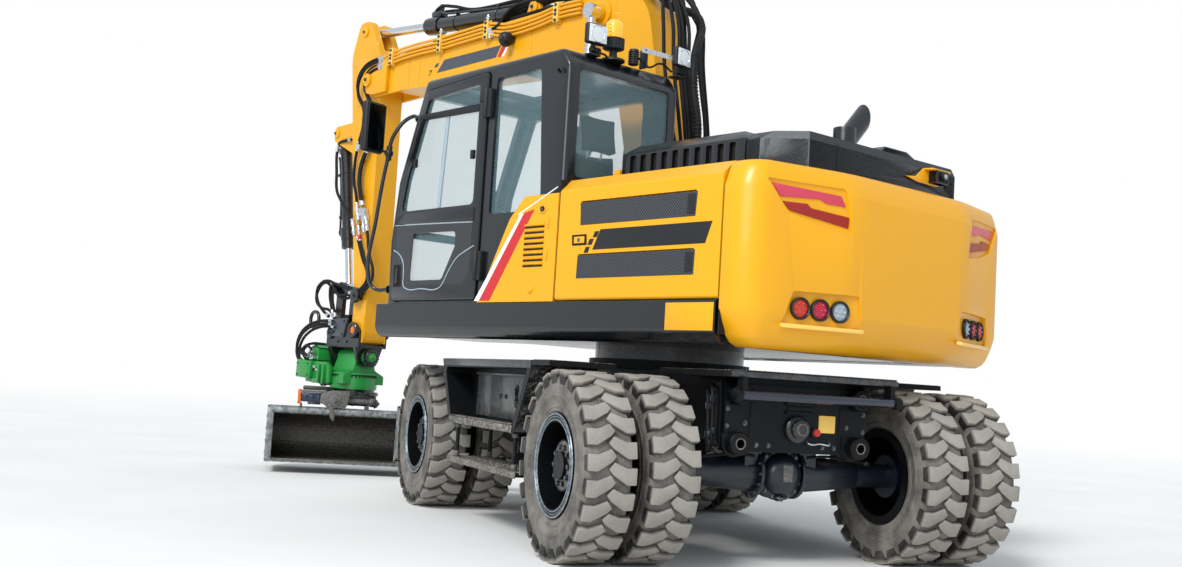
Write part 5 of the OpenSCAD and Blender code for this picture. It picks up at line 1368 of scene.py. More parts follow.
def build_limb_hoses():
    """The hoses that hang from the boom's back down behind its foot."""
    runs = []
    for i in range(10):
        y = -0.125 + 0.036 * i
        bulge = 0.045 * sin(1.3 * i) + 0.03 * (i % 3)
        runs.append([(0.62 - 0.02 * (i % 3), min(0.128, y), 4.015), (0.4, y, 4.01 - 0.006 * (i % 2)),
            (0.215, y + 0.01, 3.88), (0.11 - bulge, y + 0.03, 3.64), (0.06 - bulge, y + 0.04, 3.3),
            (-0.02 - bulge * 0.7, y + 0.02, 2.85), (-0.1, y, 2.4), (-0.15, y, 2.0), (-0.16, y, 1.7)])
    hanging = hoses("limb_hoses", "upper", 0.0135, *runs).settle(ride=False)
    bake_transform(hanging)
    spine = [(0.43, 0.05, 3.99), (0.35, 0.069, 3.88), (0.25, 0.068, 3.786), (0.05, 0.01, 3.706),
        (-0.08, 0.055, 3.571), (-0.2, 0.235, 3.29), (-0.24, 0.268, 3.083), (-0.27, 0.234, 2.795),
        (-0.25, 0.218, 2.6), (-0.225, 0.2, 2.4), (-0.215, 0.2, 2.25)]
    ribbed = Piece("ribbed_hose", "upper", BOOM)
    line = tube_of(spine, 0.026, 14, 14)
    ribbed.add(hose_black, ribs_on(line, spine))
    ribbed = ribbed.settle(50, ride=False)
    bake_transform(ribbed)


def ribs_on(tube, spine):
    """A hose's own tube with a ring every few centimetres along it."""
    knots = [Vector(p) for p in spine]
    travelled = 0.0
    for start, end in zip(knots, knots[1:]):
        run = end - start
        while travelled < run.length:
            joined(tube, ring_of(start + run * (travelled / run.length), run, 0.026, 0.0055, 16, 6))
            travelled += RIB_GAP
        travelled -= run.length
    return tube


def along(base, eye):
    """The frame of a cylinder: X from its base pin to its eye, Y across."""
    (ax, az), (bx, bz) = base, eye
    return BOOM @ Matrix.Translation((ax, 0, az)) @ Matrix.Rotation(-atan2(bz - az, bx - ax), 4, "Y")


def dress_barrel(name, body, place, radius, length, across=0.0, pipe_side=1):
    """Gland, weld rings, port blocks and the steel pipe along a cylinder's barrel."""
    rig = Piece(name, body, place @ Matrix.Translation((0, across, 0)))
    gland = [(radius + 0.0082, length - 0.205), (radius + 0.014, length - 0.2),
        (radius + 0.014, length - 0.085), (radius + 0.009, length - 0.08), (radius + 0.009, length - 0.006),
        (radius + 0.003, length + 0.001), (radius * 0.72, length + 0.002), (radius * 0.7, length - 0.002)]
    rig.add(black, turned_of(gland, (0, 0, 0), AHEAD, 48))
    rig.add(pin_steel, bolt_ring(12, radius - 0.013, (length - 0.003, 0, 0), AHEAD, 0.007, 0.007))
    rig.add(black, *[ring_of((x, 0, 0), AHEAD, radius + 0.001, 0.004, 48, 8) for x in (0.105, 0.118)])
    for x in (0.15, length - 0.15):
        rig.add(black, box_of(x - 0.032, x + 0.032, -0.028, 0.028, radius - 0.012, radius + 0.04, 0.006))
        rig.add(plated, rod_of((x, 0, radius + 0.038), "z", 0.024, 0.018, 6, 0.003))
    pipe = ((length - 0.15, 0, 0.062), (length - 0.175, 0.012, 0.08), (length - 0.22, 0.03, 0.042),
        (length * 0.6, 0.034, 0.01), (0.3, 0.034, 0.01), (0.215, 0.03, 0.03))
    rig.add(black, tube_of([(x, y * pipe_side, radius + z) for x, y, z in pipe], 0.011, 12))
    for x in (length * 0.35, length * 0.72):
        rig.add(black, ring_of((x, 0, 0), AHEAD, radius + 0.0015, 0.005, 48, 6),
            box_of(x - 0.014, x + 0.014, 0.014 * pipe_side, 0.054 * pipe_side, radius - 0.004, radius + 0.026,
            0.003))
    rig.settle(40)


def dress_cylinders():
    """Fittings on each barrel, and the port and hoses along the stick cylinder."""
    lift, crowd, dump = along(LIFT_BASE, LIFT_EYE), along(CROWD_BASE, CROWD_EYE), along(DUMP_BASE, DUMP_EYE)
    for side in (1, -1):
        dress_barrel(f"lift_fittings_{'left' if side > 0 else 'right'}", "lift_barrels", lift, 0.06, 1.33,
            side * LIFT_Y, side)
    dress_barrel("crowd_fittings", "crowd_barrel", crowd, 0.072, 1.72)
    dress_barrel("dump_fittings", "dump_barrel", dump, 0.06, 1.18)
    ring = Piece("crowd_port", "crowd_barrel", crowd)
    ring.add(black, ring_of((1.56, 0, 0.16), LEFT, 0.034, 0.009, 28),
        box_of(1.5, 1.66, -0.04, 0.04, 0.08, 0.128, 0.01))
    ring.add(hose_black, tube_of([(1.64, 0.018, 0.12), (1.56, 0.02, 0.165), (1.35, 0.022, 0.155),
        (1.05, 0.022, 0.1), (0.76, 0.024, 0.094), (0.42, 0.026, 0.11), (0.18, 0.026, 0.12),
        (0.04, 0.03, 0.1)], 0.015, 12))
    ring.add(hose_black, tube_of([(1.52, -0.018, 0.13), (1.35, -0.02, 0.125), (1.05, -0.02, 0.094),
        (0.76, -0.022, 0.092), (0.42, -0.026, 0.105), (0.18, -0.026, 0.115), (0.04, -0.03, 0.095)], 0.015,
        12))
    ring.settle()


def build_stick():
    """The stick's flange edges, pin caps and plates, its hoses and their quick couplings."""
    trim = Piece("stick_trim", "stick", BOOM)
    trim.add(yellow, side_edge(STICK_EDGE, STICK_SIDE, 0.016, 0.004))
    for pin, r, out, finish in ((CROWD_EYE, 0.05, STICK_SIDE, yellow), (ROCKER_PIN, 0.046, STICK_SIDE, black),
            (DUMP_BASE, 0.046, 0.098, yellow)):
        trim.add(finish, pair(cap_of([(0, out + 0.018), (r * 0.7, out + 0.018), (r, out + 0.012),
            (r, out - 0.01)], pin)))
        trim.add(pin_steel, pair(head_on((pin[0] + r * 0.3, pin[1]), out + 0.018, 1, 0.011, 0.009)))
    for z0, z1, x in ((1.8, 3.05, 4.2), (3.1, 3.6, 4.36)):
        trim.add(yellow, pair(box_of(x, x + 0.01, 0.118, 0.123, z0, z1, 0.002)))
    trim.add(yellow, pair(cut_plate([(4.13, 3.56), (4.56, 3.56), (4.63, 3.98), (4.56, 4.05), (4.2, 4.0),
        (4.13, 3.9)], "xz", 0.119, 0.125, 0.003)))
    trim.add(yellow, *[box_of(4.3 + 0.01 * i, 4.34 + 0.01 * i, 0.118, 0.15, 2.63 + 0.34 * i, 2.67 + 0.34 * i,
        0.005) for i in range(2)])
    trim.add(yellow, pair(cut_plate([(4.118, 1.5), (4.33, 1.5), (4.33, 1.245), (4.118, 1.245)], "xz", 0.119,
        0.128, 0.004)))
    trim.settle(35)
    one = [(4.42, 0.156, 3.15), (4.45, 0.156, 2.98), (4.44, 0.156, 2.8), (4.39, 0.154, 2.68),
        (4.345, 0.154, 2.545)]
    two = [(4.24, 0.158, 3.12), (4.33, 0.16, 2.96), (4.345, 0.16, 2.8), (4.31, 0.16, 2.68),
        (4.262, 0.16, 2.56)]
    hoses("stick_hoses", "stick", HOSE_R, one, two, *spread(two, (-0.034, 0.006, -0.01)),
        ends=0.05).settle()
    from_dump = [(4.96, 0.07, 3.19), (4.905, 0.105, 3.1), (4.845, 0.125, 2.93), (4.81, 0.13, 2.76),
        (4.7, 0.138, 2.64), (4.53, 0.146, 2.51), (4.4, 0.15, 2.4)]
    hoses("bucket_cylinder_hose", "stick", HOSE_R, from_dump,
        [(4.61, 0.124, 3.24), (4.78, 0.112, 3.245), (4.9, 0.09, 3.235), (4.955, 0.07, 3.215)],
        ends=0.05).settle()
    joint = Piece("quick_couplings", "stick", BOOM)
    joint.add(plated, box_of(4.18, 4.3, 0.122, 0.172, 2.455, 2.53, 0.01),
        box_of(4.15, 4.23, 0.122, 0.178, 2.395, 2.47, 0.008))
    for i, (x, z, drop) in enumerate(((4.345, 2.545, 0.16), (4.3, 2.47, 0.2), (4.225, 2.45, 0.16),
            (4.165, 2.44, 0.1), (4.4, 2.4, 0.13))):
        y = 0.158 + 0.006 * (i % 2)
        end = (x - 0.045, y, z - drop)
        joint.add(plated, bar_of((x, y, z), end, 0.016, 16, 0.002),
            bar_of((x, y, z), Vector((x, y, z)).lerp(end, 0.3), 0.023, 6, 0.003))
        joint.add(plated, bar_of(Vector((x, y, z)).lerp(end, 0.55), Vector((x, y, z)).lerp(end, 0.8), 0.021,
            20, 0.003))
    joint.add(red_cap, bar_of((4.255, 0.164, 2.27), (4.24, 0.164, 2.225), 0.02, 16, 0.004))
    joint.add(brass, box_of(4.23, 4.275, 0.15, 0.186, 2.37, 2.42, 0.006))
    joint.settle()


def build_tool_hoses():
    """The hoses that hang down the stick and loop over the linkage to the hitch."""
    down = [(4.118, 0.17, 2.34), (4.08, 0.172, 2.245), (4.062, 0.172, 2.152), (4.01, 0.172, 2.04),
        (3.95, 0.172, 1.93), (3.955, 0.172, 1.83), (4.045, 0.172, 1.745), (4.19, 0.172, 1.69)]
    wide = [(4.255, 0.16, 2.25), (4.18, 0.164, 2.13), (4.11, 0.166, 2.02), (4.03, 0.166, 1.92),
        (4.02, 0.166, 1.83), (4.09, 0.168, 1.76), (4.22, 0.17, 1.715)]
    hoses("lower_stick_hoses", "stick", 0.0135, down, *spread(wide, (0, 0, 0), (0.03, 0.004, 0.004)),
        ends=0.045).settle()
    ring = [(4.2, 0.17, 1.7), (4.348, 0.175, 1.7), (4.538, 0.172, 1.7), (4.68, 0.17, 1.775),
        (4.813, 0.172, 1.823), (4.935, 0.172, 1.764), (4.97, 0.172, 1.662), (4.87, 0.172, 1.58),
        (4.7, 0.17, 1.549), (4.6, 0.168, 1.48)]
    over = [(4.22, 0.172, 1.73), (4.434, 0.18, 1.77), (4.592, 0.186, 1.805), (4.74, 0.186, 1.838),
        (4.871, 0.184, 1.82), (4.95, 0.182, 1.75), (4.935, 0.18, 1.655), (4.834, 0.178, 1.56),
        (4.7, 0.174, 1.49)]
    near = [(4.24, 0.176, 1.69), (4.38, 0.184, 1.66), (4.52, 0.186, 1.69), (4.62, 0.184, 1.76),
        (4.64, 0.182, 1.68), (4.6, 0.18, 1.56), (4.56, 0.176, 1.48)]
    loops = hoses("linkage_hoses", "hitch", HOSE_R, ring, over, near, *spread(near, (0.03, 0.012, 0.03)),
        ends=0.045).settle(ride=False)
    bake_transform(loops)


build_boom()
build_boom_pipes()
build_limb_hoses()
dress_cylinders()
build_stick()
build_tool_hoses()


# Tool: hitch, tilting head, turning coupler and bucket

TILT_Z = 1.11
DRUM = (4.43, 0, 0)
DRUM_EYE = (4.645, 0.882)
LOCK_X, LOCK_Z = -0.262, 0.69
BUCKET_HALF = 0.7745


def toothed(x0, x1, radius, teeth, depth):
    """A gear wheel about the tilt pin."""
    ring = []
    for i in range(teeth):
        for share, r in ((0.0, radius - depth), (0.22, radius - depth), (0.34, radius), (0.72, radius),
                (0.86, radius - depth)):
            a = 2 * pi * (i + share) / teeth
            ring.append((r * cos(a), TILT_Z + r * sin(a)))
    return cut_plate(ring, "yz", x0, x1, 0.0015)


def build_hitch():
    """The hitch's collars, plate, brace and hose stand, and the rocker's rollers."""
    rig = Piece("hitch_trim", "hitch", BOOM)
    for s in (1, -1):
        collar = [(0.04, 0.152), (0.074, 0.152), (0.078, 0.158), (0.078, 0.186), (0.072, 0.192),
            (0.05, 0.192), (0.046, 0.186), (0.04, 0.186)]
        rig.add(black, cap_of(collar, TOOL_PIN, s, 40))
        rig.add(orange_pin, cap_of([(0, 0.188), (0.03, 0.188), (0.038, 0.182), (0.038, 0.16)], TOOL_PIN, s))
        rig.add(black, cap_of([(0, 0.18), (0.04, 0.18), (0.058, 0.172), (0.058, 0.15)], LINK_PIN, s))
        rig.add(pin_steel, head_on(LINK_PIN, 0.178, s, 0.016),
            *[head_on((x, 1.25), 0.154, s, 0.012, 0.01) for x in (4.52, 4.36)])
    plate = [(4.63, 1.466), (4.345, 1.474), (4.372, 1.4), (4.41, 1.292), (4.626, 1.3)]
    rig.add(slate_film, carved(cut_plate(plate, "xz", 0.1545, 0.172, 0.004, 0.012),
        rod_of((4.575, 0.1, 1.345), "y", 0.2, 0.014)))
    rig.add(pin_steel, *[head_on(spot, 0.172, 1, 0.01, 0.008)
        for spot in ((4.6, 1.44), (4.4, 1.445), (4.6, 1.33), (4.435, 1.32))])
    brace = [(-0.15, 1.202), (-0.155, 1.18), (-0.088, 1.006), (0.088, 1.006), (0.155, 1.18), (0.15, 1.202),
        (0.115, 1.2), (0.092, 1.06), (0.06, 1.018), (-0.06, 1.018), (-0.092, 1.06), (-0.115, 1.2)]
    rig.add(black, cut_plate(brace, "yz", 4.684, 4.706, 0.003))
    stand = [(4.6, 0.146, 1.44), (4.7, 0.14, 1.44), (4.86, 0.128, 1.412), (5.0, 0.12, 1.392),
        (5.11, 0.118, 1.39), (5.15, 0.116, 1.44), (5.138, 0.114, 1.515), (5.075, 0.112, 1.54),
        (5.01, 0.112, 1.51), (4.998, 0.114, 1.43), (5.01, 0.116, 1.396)]
    rig.add(black, tube_of(stand, 0.018, 14, 8))
    rig.settle(38)
    roller = Piece("rocker_trim", "rocker", BOOM)
    for s in (1, -1):
        drum = [(0, 0.206), (0.03, 0.206), (0.034, 0.2), (0.066, 0.2), (0.072, 0.192), (0.072, 0.166),
            (0.06, 0.158), (0.044, 0.154)]
        roller.add(black, cap_of(drum, ROCKER_PIN, s, 40))
        roller.add(pin_steel, head_on(ROCKER_PIN, 0.206, s, 0.015))
        roller.add(black, cap_of([(0, 0.18), (0.03, 0.18), (0.05, 0.172), (0.05, 0.15)], DUMP_EYE, s))
        roller.add(pin_steel, head_on(DUMP_EYE, 0.178, s, 0.013, 0.01))
    roller.settle(38)


def build_tilt_head():
    """Gears and caps on the tilt pin, the green housings, the drum's seams and the hoses round the head."""
    rig = Piece("tilt_trim", "tilt_body", BOOM)
    for x0, x1, out in ((4.132, 4.165, -1), (4.715, 4.743, 1)):
        rig.add(black, toothed(x0, x1, 0.084, 18, 0.012))
        face = (x0 if out < 0 else x1, 0, TILT_Z)
        rig.add(black, turned_of([(0.048, 0.012), (0.052, 0.016), (0.062, 0.016), (0.068, 0.006),
            (0.076, 0.003), (0.076, -0.004)], face, (out, 0, 0), 40))
        rig.add(green, turned_of([(0, 0.022), (0.016, 0.022), (0.02, 0.017), (0.04, 0.015), (0.047, 0.008),
            (0.048, -0.004)], face, (out, 0, 0), 40))
        rig.add(pin_steel, bolt_ring(12, 0.057, (face[0] + out * 0.015, 0, TILT_Z), (out, 0, 0), 0.005,
            0.005))
        rig.add(brass, bar_of((face[0] + out * 0.02, 0, TILT_Z), (face[0] + out * 0.036, 0, TILT_Z), 0.009,
            12, 0.002))
    # Motor housing ahead of the drum, with its ridge and control box
    box = [(4.75, 0.836), (4.96, 0.846), (4.975, 0.985), (4.93, 1.02), (4.75, 1.014)]
    rig.add(green, cut_plate(box, "xz", -0.235, 0.235, 0.014, 0.012),
        box_of(4.64, 4.76, -0.23, 0.23, 0.836, 0.966, 0.012, 3))
    rig.add(green, cut_plate([(4.45, 0.835), (4.8, 0.835), (4.8, 1.02), (4.74, 1.045), (4.52, 1.045),
        (4.47, 0.99)], "xz", 0.222, 0.262, 0.01, 0.02))
    rig.add(green, *[cut_plate([(x, 0.838), (x + 0.034, 0.838), (x + 0.034, 1.02), (x, 1.02)], "xz", 0.255,
        0.292, 0.008) for x in (4.52, 4.61)])
    rig.add(green, *[moved(box, turn=radians(-3), about="y", centre=(4.87, 0, 0.96))
        for box in (box_of(4.76, 5.035, 0.12, 0.305, 0.878, 1.052, 0.014, 3),
        box_of(4.78, 5.015, 0.303, 0.309, 0.896, 1.034, 0.003))])
    rig.add(plastic, *[bolt_of((x, 0.309, z), LEFT, 0.006, 0.005) for x in (4.795, 5.0)
        for z in (0.91, 1.02)])
    hood = [(4.745, 1.0), (4.99, 1.0), (4.985, 1.085), (4.935, 1.165), (4.87, 1.2), (4.79, 1.205),
        (4.75, 1.18)]
    rig.add(green, cut_plate(hood, "xz", -0.2, 0.225, 0.03, 0.05))
    # A dark strip in the gap under the hood: painted shade.
    rig.add(seam_shade, cut_plate([(4.742, 1.052), (4.993, 1.052), (4.993, 1.058), (4.742, 1.058)], "xz",
        -0.203, 0.228, 0.0))
    # Drum's bolted seam, its gap a ring of painted shade
    rig.add(seam_shade, turned_of([(0.2225, 0.9335), (0.2245, 0.9335), (0.2245, 0.9265), (0.2225, 0.9265)],
        DRUM, UP, 64))
    rig.add(green, turned_of([(0.15, 0.934), (0.216, 0.934), (0.224, 0.941), (0.218, 0.952), (0.15, 0.956)],
        DRUM, UP, 64))
    rig.add(plastic, *[rod_of((x, y, 0.912), "z", 0.016, 0.007, 8)
        for x, y, _ in circle_of(40, 0.228, DRUM, UP)])
    for s in (1, -1):
        rig.add(black, cap_of([(0, 0.244), (0.04, 0.244), (0.046, 0.238), (0.046, 0.23)], DRUM_EYE, s))
        rig.add(pin_steel, bolt_ring(8, 0.062, (DRUM_EYE[0], 0.224 * s, DRUM_EYE[1]), (0, s, 0), 0.007,
            0.006))
    for x, z in ((4.79, 1.075), (4.83, 1.095), (4.8, 1.14), (4.86, 1.13)):
        rig.add(plated, bar_of((x, 0.22, z), (x - 0.006, 0.252, z + 0.002), 0.016, 6, 0.003),
            bar_of((x - 0.005, 0.25, z + 0.002), (x - 0.01, 0.276, z + 0.004), 0.0125, 12, 0.002))
    rig.settle(38)
    inner = [(4.783, 0.262, 1.142), (4.79, 0.3, 1.172), (4.85, 0.3, 1.196), (4.925, 0.285, 1.176),
        (4.955, 0.275, 1.11), (4.915, 0.27, 1.066), (4.84, 0.272, 1.064), (4.786, 0.262, 1.076)]
    fan = [(4.822, 0.262, 1.097), (4.835, 0.3, 1.105), (4.9, 0.3, 1.125), (4.965, 0.262, 1.165),
        (4.96, 0.2, 1.215), (4.9, 0.13, 1.222), (4.85, 0.06, 1.212), (4.82, 0.02, 1.2)]
    hoses("head_hoses", "tilt_body", 0.0125, inner, fan, *spread(fan, (0.028, 0.012, -0.006)),
        ends=0.04).settle()
    big = [(4.6, 0.186, 1.44), (4.7, 0.2, 1.446), (4.87, 0.215, 1.43), (5.03, 0.225, 1.38),
        (5.135, 0.232, 1.3), (5.17, 0.238, 1.2), (5.11, 0.25, 1.1), (4.98, 0.262, 1.045),
        (4.85, 0.262, 1.022), (4.745, 0.24, 1.02)]
    loops = hoses("tilt_hoses", "tilt_body", 0.014, *spread(big, (0, 0, 0), (-0.03, 0.016, -0.03),
        (-0.062, 0.004, -0.056)), ends=0.045).settle(ride=False)
    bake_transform(loops)


def build_coupler():
    """The turning coupler: its plates, locking cylinder, hook and marker, and the bucket's wear bars."""
    rig = Piece("coupler_trim", "tool", TOOL)
    rig.add(black, turned_of([(0.15, 0.741), (0.238, 0.741), (0.243, 0.747), (0.243, 0.762), (0.236, 0.768),
        (0.207, 0.77)], (0, 0, 0), UP, 64))
    rig.add(pin_steel, *[rod_of((x, y, 0.766), "z", 0.01, 0.009, 6, 0.001)
        for x, y, _ in circle_of(24, 0.226, (0, 0, 0), UP)])
    for s in (1, -1):
        cheek = [(-0.285, 0.742), (0.305, 0.742), (0.318, 0.7), (0.305, 0.64), (0.262, 0.628), (0.235, 0.65),
            (0.2, 0.655), (-0.18, 0.655), (-0.205, 0.64), (-0.235, 0.628), (-0.275, 0.64), (-0.292, 0.69)]
        rig.add(black, cut_plate(cheek, "xz", 0.196 * s, 0.212 * s, 0.004))
        for x in (-0.22, 0.23):
            rig.add(worn, cap_of([(0, 0.236), (0.02, 0.236), (0.036, 0.228), (0.04, 0.216), (0.04, 0.205)],
                (x, 0.674), s, 28))
            rig.add(pin_steel, head_on((x, 0.674), 0.236, s, 0.014, 0.01))
    # Locking cylinder along the rear, its eye and the grey hook at its left end
    rig.add(hub_grey, rod_of((LOCK_X, -0.15, LOCK_Z), "y", 0.31, 0.03, 28, 0.004),
        rod_of((LOCK_X, -0.19, LOCK_Z), "y", 0.04, 0.038, 28, 0.006))
    rig.add(bright, rod_of((LOCK_X, 0.15, LOCK_Z), "y", 0.055, 0.018, 20))
    hook = [(0.03, 0.78), (0.2, 0.78), (0.3, 0.745), (0.31, 0.66), (0.262, 0.64), (0.222, 0.6), (0.205, 0.52),
        (0.17, 0.49), (0.158, 0.56), (0.176, 0.61), (0.13, 0.625), (0.08, 0.6), (0.058, 0.64), (0.04, 0.7)]
    rig.add(hub_grey, cut_plate(hook, "yz", -0.352, -0.3, 0.009))
    petals = [ball_of(spot, 0.017) for spot in circle_of(6, 0.03, (-0.354, 0.165, 0.69), BACK)]
    rig.add(hub_grey, *petals, turned_of([(0, 0.376), (0.02, 0.376), (0.026, 0.368), (0.056, 0.36),
        (0.062, 0.348)], (0, 0.165, 0.69), BACK, 32))
    rig.add(pin_steel, bolt_of((-0.376, 0.165, 0.69), BACK, 0.013, 0.008))
    rig.add(navy, box_of(-0.33, -0.296, 0.285, 0.48, 0.662, 0.748, 0.008),
        *[box_of(-0.336, -0.328, 0.305 + 0.058 * i, 0.34 + 0.058 * i, 0.684, 0.728, 0.004) for i in range(3)])
    rig.add(hub_grey, box_of(-0.34, -0.29, 0.2, 0.48, 0.75, 0.772, 0.006))
    rig.add(orange_pin, box_of(-0.345, -0.29, 0.48, 0.512, 0.64, 0.778, 0.005),
        box_of(-0.352, -0.344, 0.484, 0.508, 0.66, 0.69, 0.003),
        box_of(-0.352, -0.344, 0.484, 0.508, 0.72, 0.75, 0.003))
    rig.add(black, box_of(-0.32, 0.06, 0.19, 0.47, 0.774, 0.808, 0.008),
        box_of(-0.33, -0.24, 0.3, 0.42, 0.64, 0.664, 0.006),
        box_of(-0.3, -0.2, -0.16, 0.3, 0.73, 0.77, 0.008))
    rig.add(hose_black, tube_of([(-0.262, 0.14, 0.722), (-0.24, 0.175, 0.77), (-0.15, 0.235, 0.79),
        (0.04, 0.252, 0.786), (0.14, 0.235, 0.77), (0.18, 0.2, 0.755)], 0.011, 12))
    rig.settle(38)
    wear = Piece("bucket_trim", "tool", TOOL)
    for s in (1, -1):
        bar = [(-0.372, 0.1), (-0.326, 0.092), (-0.296, 0.56), (-0.322, 0.596), (-0.352, 0.59)]
        wear.add(pale_steel, cut_plate(bar, "xz", 0.715 * s, BUCKET_HALF * s, 0.006))
        wear.add(worn, *[head_on((-0.336 + 0.004 * i, 0.18 + 0.11 * i), 0.77, s, 0.014, 0.006)
            for i in range(4)])
    wear.add(pale_steel, cut_plate([(-0.385, 0.098), (-0.365, 0.112), (-0.29, 0.11), (-0.29, 0.092)], "xz",
        -0.77, 0.77, 0.003))
    wear.add(pale_steel, rod_of((-0.31, -BUCKET_HALF, 0.58), "y", 1.549, 0.0365, 32))
    for y in (-0.48, 0.48):
        wear.add(worn, cut_plate([(-0.3, 0.602), (0.3, 0.602), (0.1, 0.64), (-0.2, 0.64)], "xz", y - 0.01,
            y + 0.01, 0.003))
    wear.settle(38)


build_hitch()
build_tilt_head()
build_coupler()


# Running gear: chassis rear, axles, toolboxes, steps and blade

EYE_Y, LOW_EYE_Z = 0.4, 0.705
DRAWBAR = (-1.705, 0, 0.8)
ROLLER_X, ROLLER_Z = -1.93, 0.98
RAIL_Z = 0.66
BOX_Y = 1.37
BLADE_HALF, BLADE_LOW, BLADE_TALL = 1.25, 0.22, 0.48


def build_rear_frame():
    """The rear plate with its eyes, drawbar, roller and toothed step, the deck and the brake pipes."""
    rig = Piece("rear_frame_trim", "chassis", MACHINE)
    for s in (1, -1):
        for z in (LOW_EYE_Z, 0.985):
            eye = (-1.722, s * EYE_Y, z)
            rig.add(cast_in_shade, turned_of([(0.03, 0.05), (0.046, 0.054), (0.06, 0.052), (0.066, 0.044),
                (0.066, -0.06)], eye, BACK, 40))
            rig.add(worn, turned_of([(0.0255, 0.03), (0.0255, 0.0515), (0.03, 0.0525), (0.033, 0.052)], eye,
                BACK, 32))
        lobe = [(s * EYE_Y + 0.08 * cos(a), LOW_EYE_Z + 0.08 * sin(a))
            for a in (pi + pi * i / 14 for i in range(15))]
        rig.add(cast_in_shade, cut_plate([(s * EYE_Y + 0.08, 0.76), (s * EYE_Y - 0.08, 0.76)] + lobe, "yz", -1.702,
            -1.668, 0.004))
        gusset = [(-1.668, 1.06), (-1.56, 1.06), (-1.64, 0.7), (-1.668, 0.68)]
        rig.add(cast_in_shade, cut_plate(gusset, "xz", s * 0.47, s * 0.486, 0.003))
        rig.add(cast_in_shade, box_of(-1.704, -1.698, s * 0.3 - 0.01, s * 0.3 + 0.01, 0.7, 1.02, 0.002))
        rig.add(pin_steel, *[bolt_of((-1.7, s * y, z), BACK, 0.011, 0.009)
            for y, z in ((0.455, 0.8), (0.455, 0.9), (0.34, 0.82), (0.18, 0.7), (0.26, 0.7))])
    rig.add(cast_in_shade, box_of(-1.716, -1.698, -0.11, 0.08, 0.935, 0.955, 0.005),
        box_of(-1.716, -1.698, -0.11, 0.08, 0.885, 0.903, 0.005),
        box_of(-1.706, -1.698, -0.095, 0.065, 0.903, 0.935, 0.002))
    rig.add(cream, cut_plate([(-0.15, 0.885), (-0.262, 0.885), (-0.262, 0.785), (-0.15, 0.785)], "yz",
        -1.7035, -1.7005, 0.001, 0.006))
    rig.add(black, turned_of([(0, 0.07), (0.022, 0.07), (0.03, 0.064), (0.052, 0.06), (0.058, 0.052),
        (0.058, 0.03), (0.07, 0.026), (0.078, 0.016), (0.078, 0.0)], DRAWBAR, BACK, 40))
    rig.add(hub_grey, turned_of([(0.026, 0.0705), (0.034, 0.0705), (0.038, 0.064)], DRAWBAR, BACK, 32))
    rig.add(black, rod_of((-1.7, -0.115, 0.785), "x", -0.035, 0.026, 24, 0.004))
    rig.add(red_cap, rod_of((-1.735, -0.115, 0.785), "x", -0.017, 0.022, 20, 0.006))
    rig.add(plated, tube_of([(-1.705, -0.07, 0.735), (-1.728, -0.075, 0.72), (-1.728, -0.15, 0.722),
        (-1.728, -0.215, 0.718), (-1.705, -0.222, 0.73)], 0.005, 8))
    rig.add(blue_black, rod_of((ROLLER_X, -0.535, ROLLER_Z), "y", 1.07, 0.0262, 32, 0.004))
    for s in (1, -1):
        rig.add(cast_in_shade, bar_of((ROLLER_X, s * 0.5, ROLLER_Z), (ROLLER_X, s * 0.545, ROLLER_Z), 0.036, 28,
            0.006))
    teeth = [box_of(-1.906, -1.86, -0.54 + 0.03 * i, -0.526 + 0.03 * i, 1.109, 1.118, 0.003, 1)
        for i in range(36)]
    rig.add(dusted, *teeth)
    rig.add(dusted, box_of(-1.9035, -1.899, -0.55, 0.55, 1.078, 1.108, 0.001))
    rig.add(trodden, cut_plate([(-1.89, -0.55), (-1.12, -0.61), (-1.12, 0.61), (-1.89, 0.55)], "xy", 1.1105,
        1.1135, 0.001))
    # Brake pipes and valves up the left corner
    for y, z0, z1 in ((0.52, 0.7, 1.0), (0.548, 0.68, 0.96)):
        rig.add(hose_black, tube_of([(-1.6, y - 0.06, z0 - 0.02), (-1.64, y - 0.01, z0),
            (-1.645, y, (z0 + z1) / 2), (-1.63, y, z1), (-1.56, y - 0.03, z1 + 0.03)], 0.009, 10))
        rig.add(plated, bar_of((-1.6425, y, z0 + 0.05), (-1.646, y, z0 + 0.085), 0.014, 6, 0.002),
            bar_of((-1.64, y, z1 - 0.07), (-1.635, y, z1 - 0.035), 0.014, 6, 0.002))
    rig.add(cast_in_shade, box_of(-1.655, -1.56, 0.478, 0.512, 0.72, 0.98, 0.006))
    rig.settle(36)


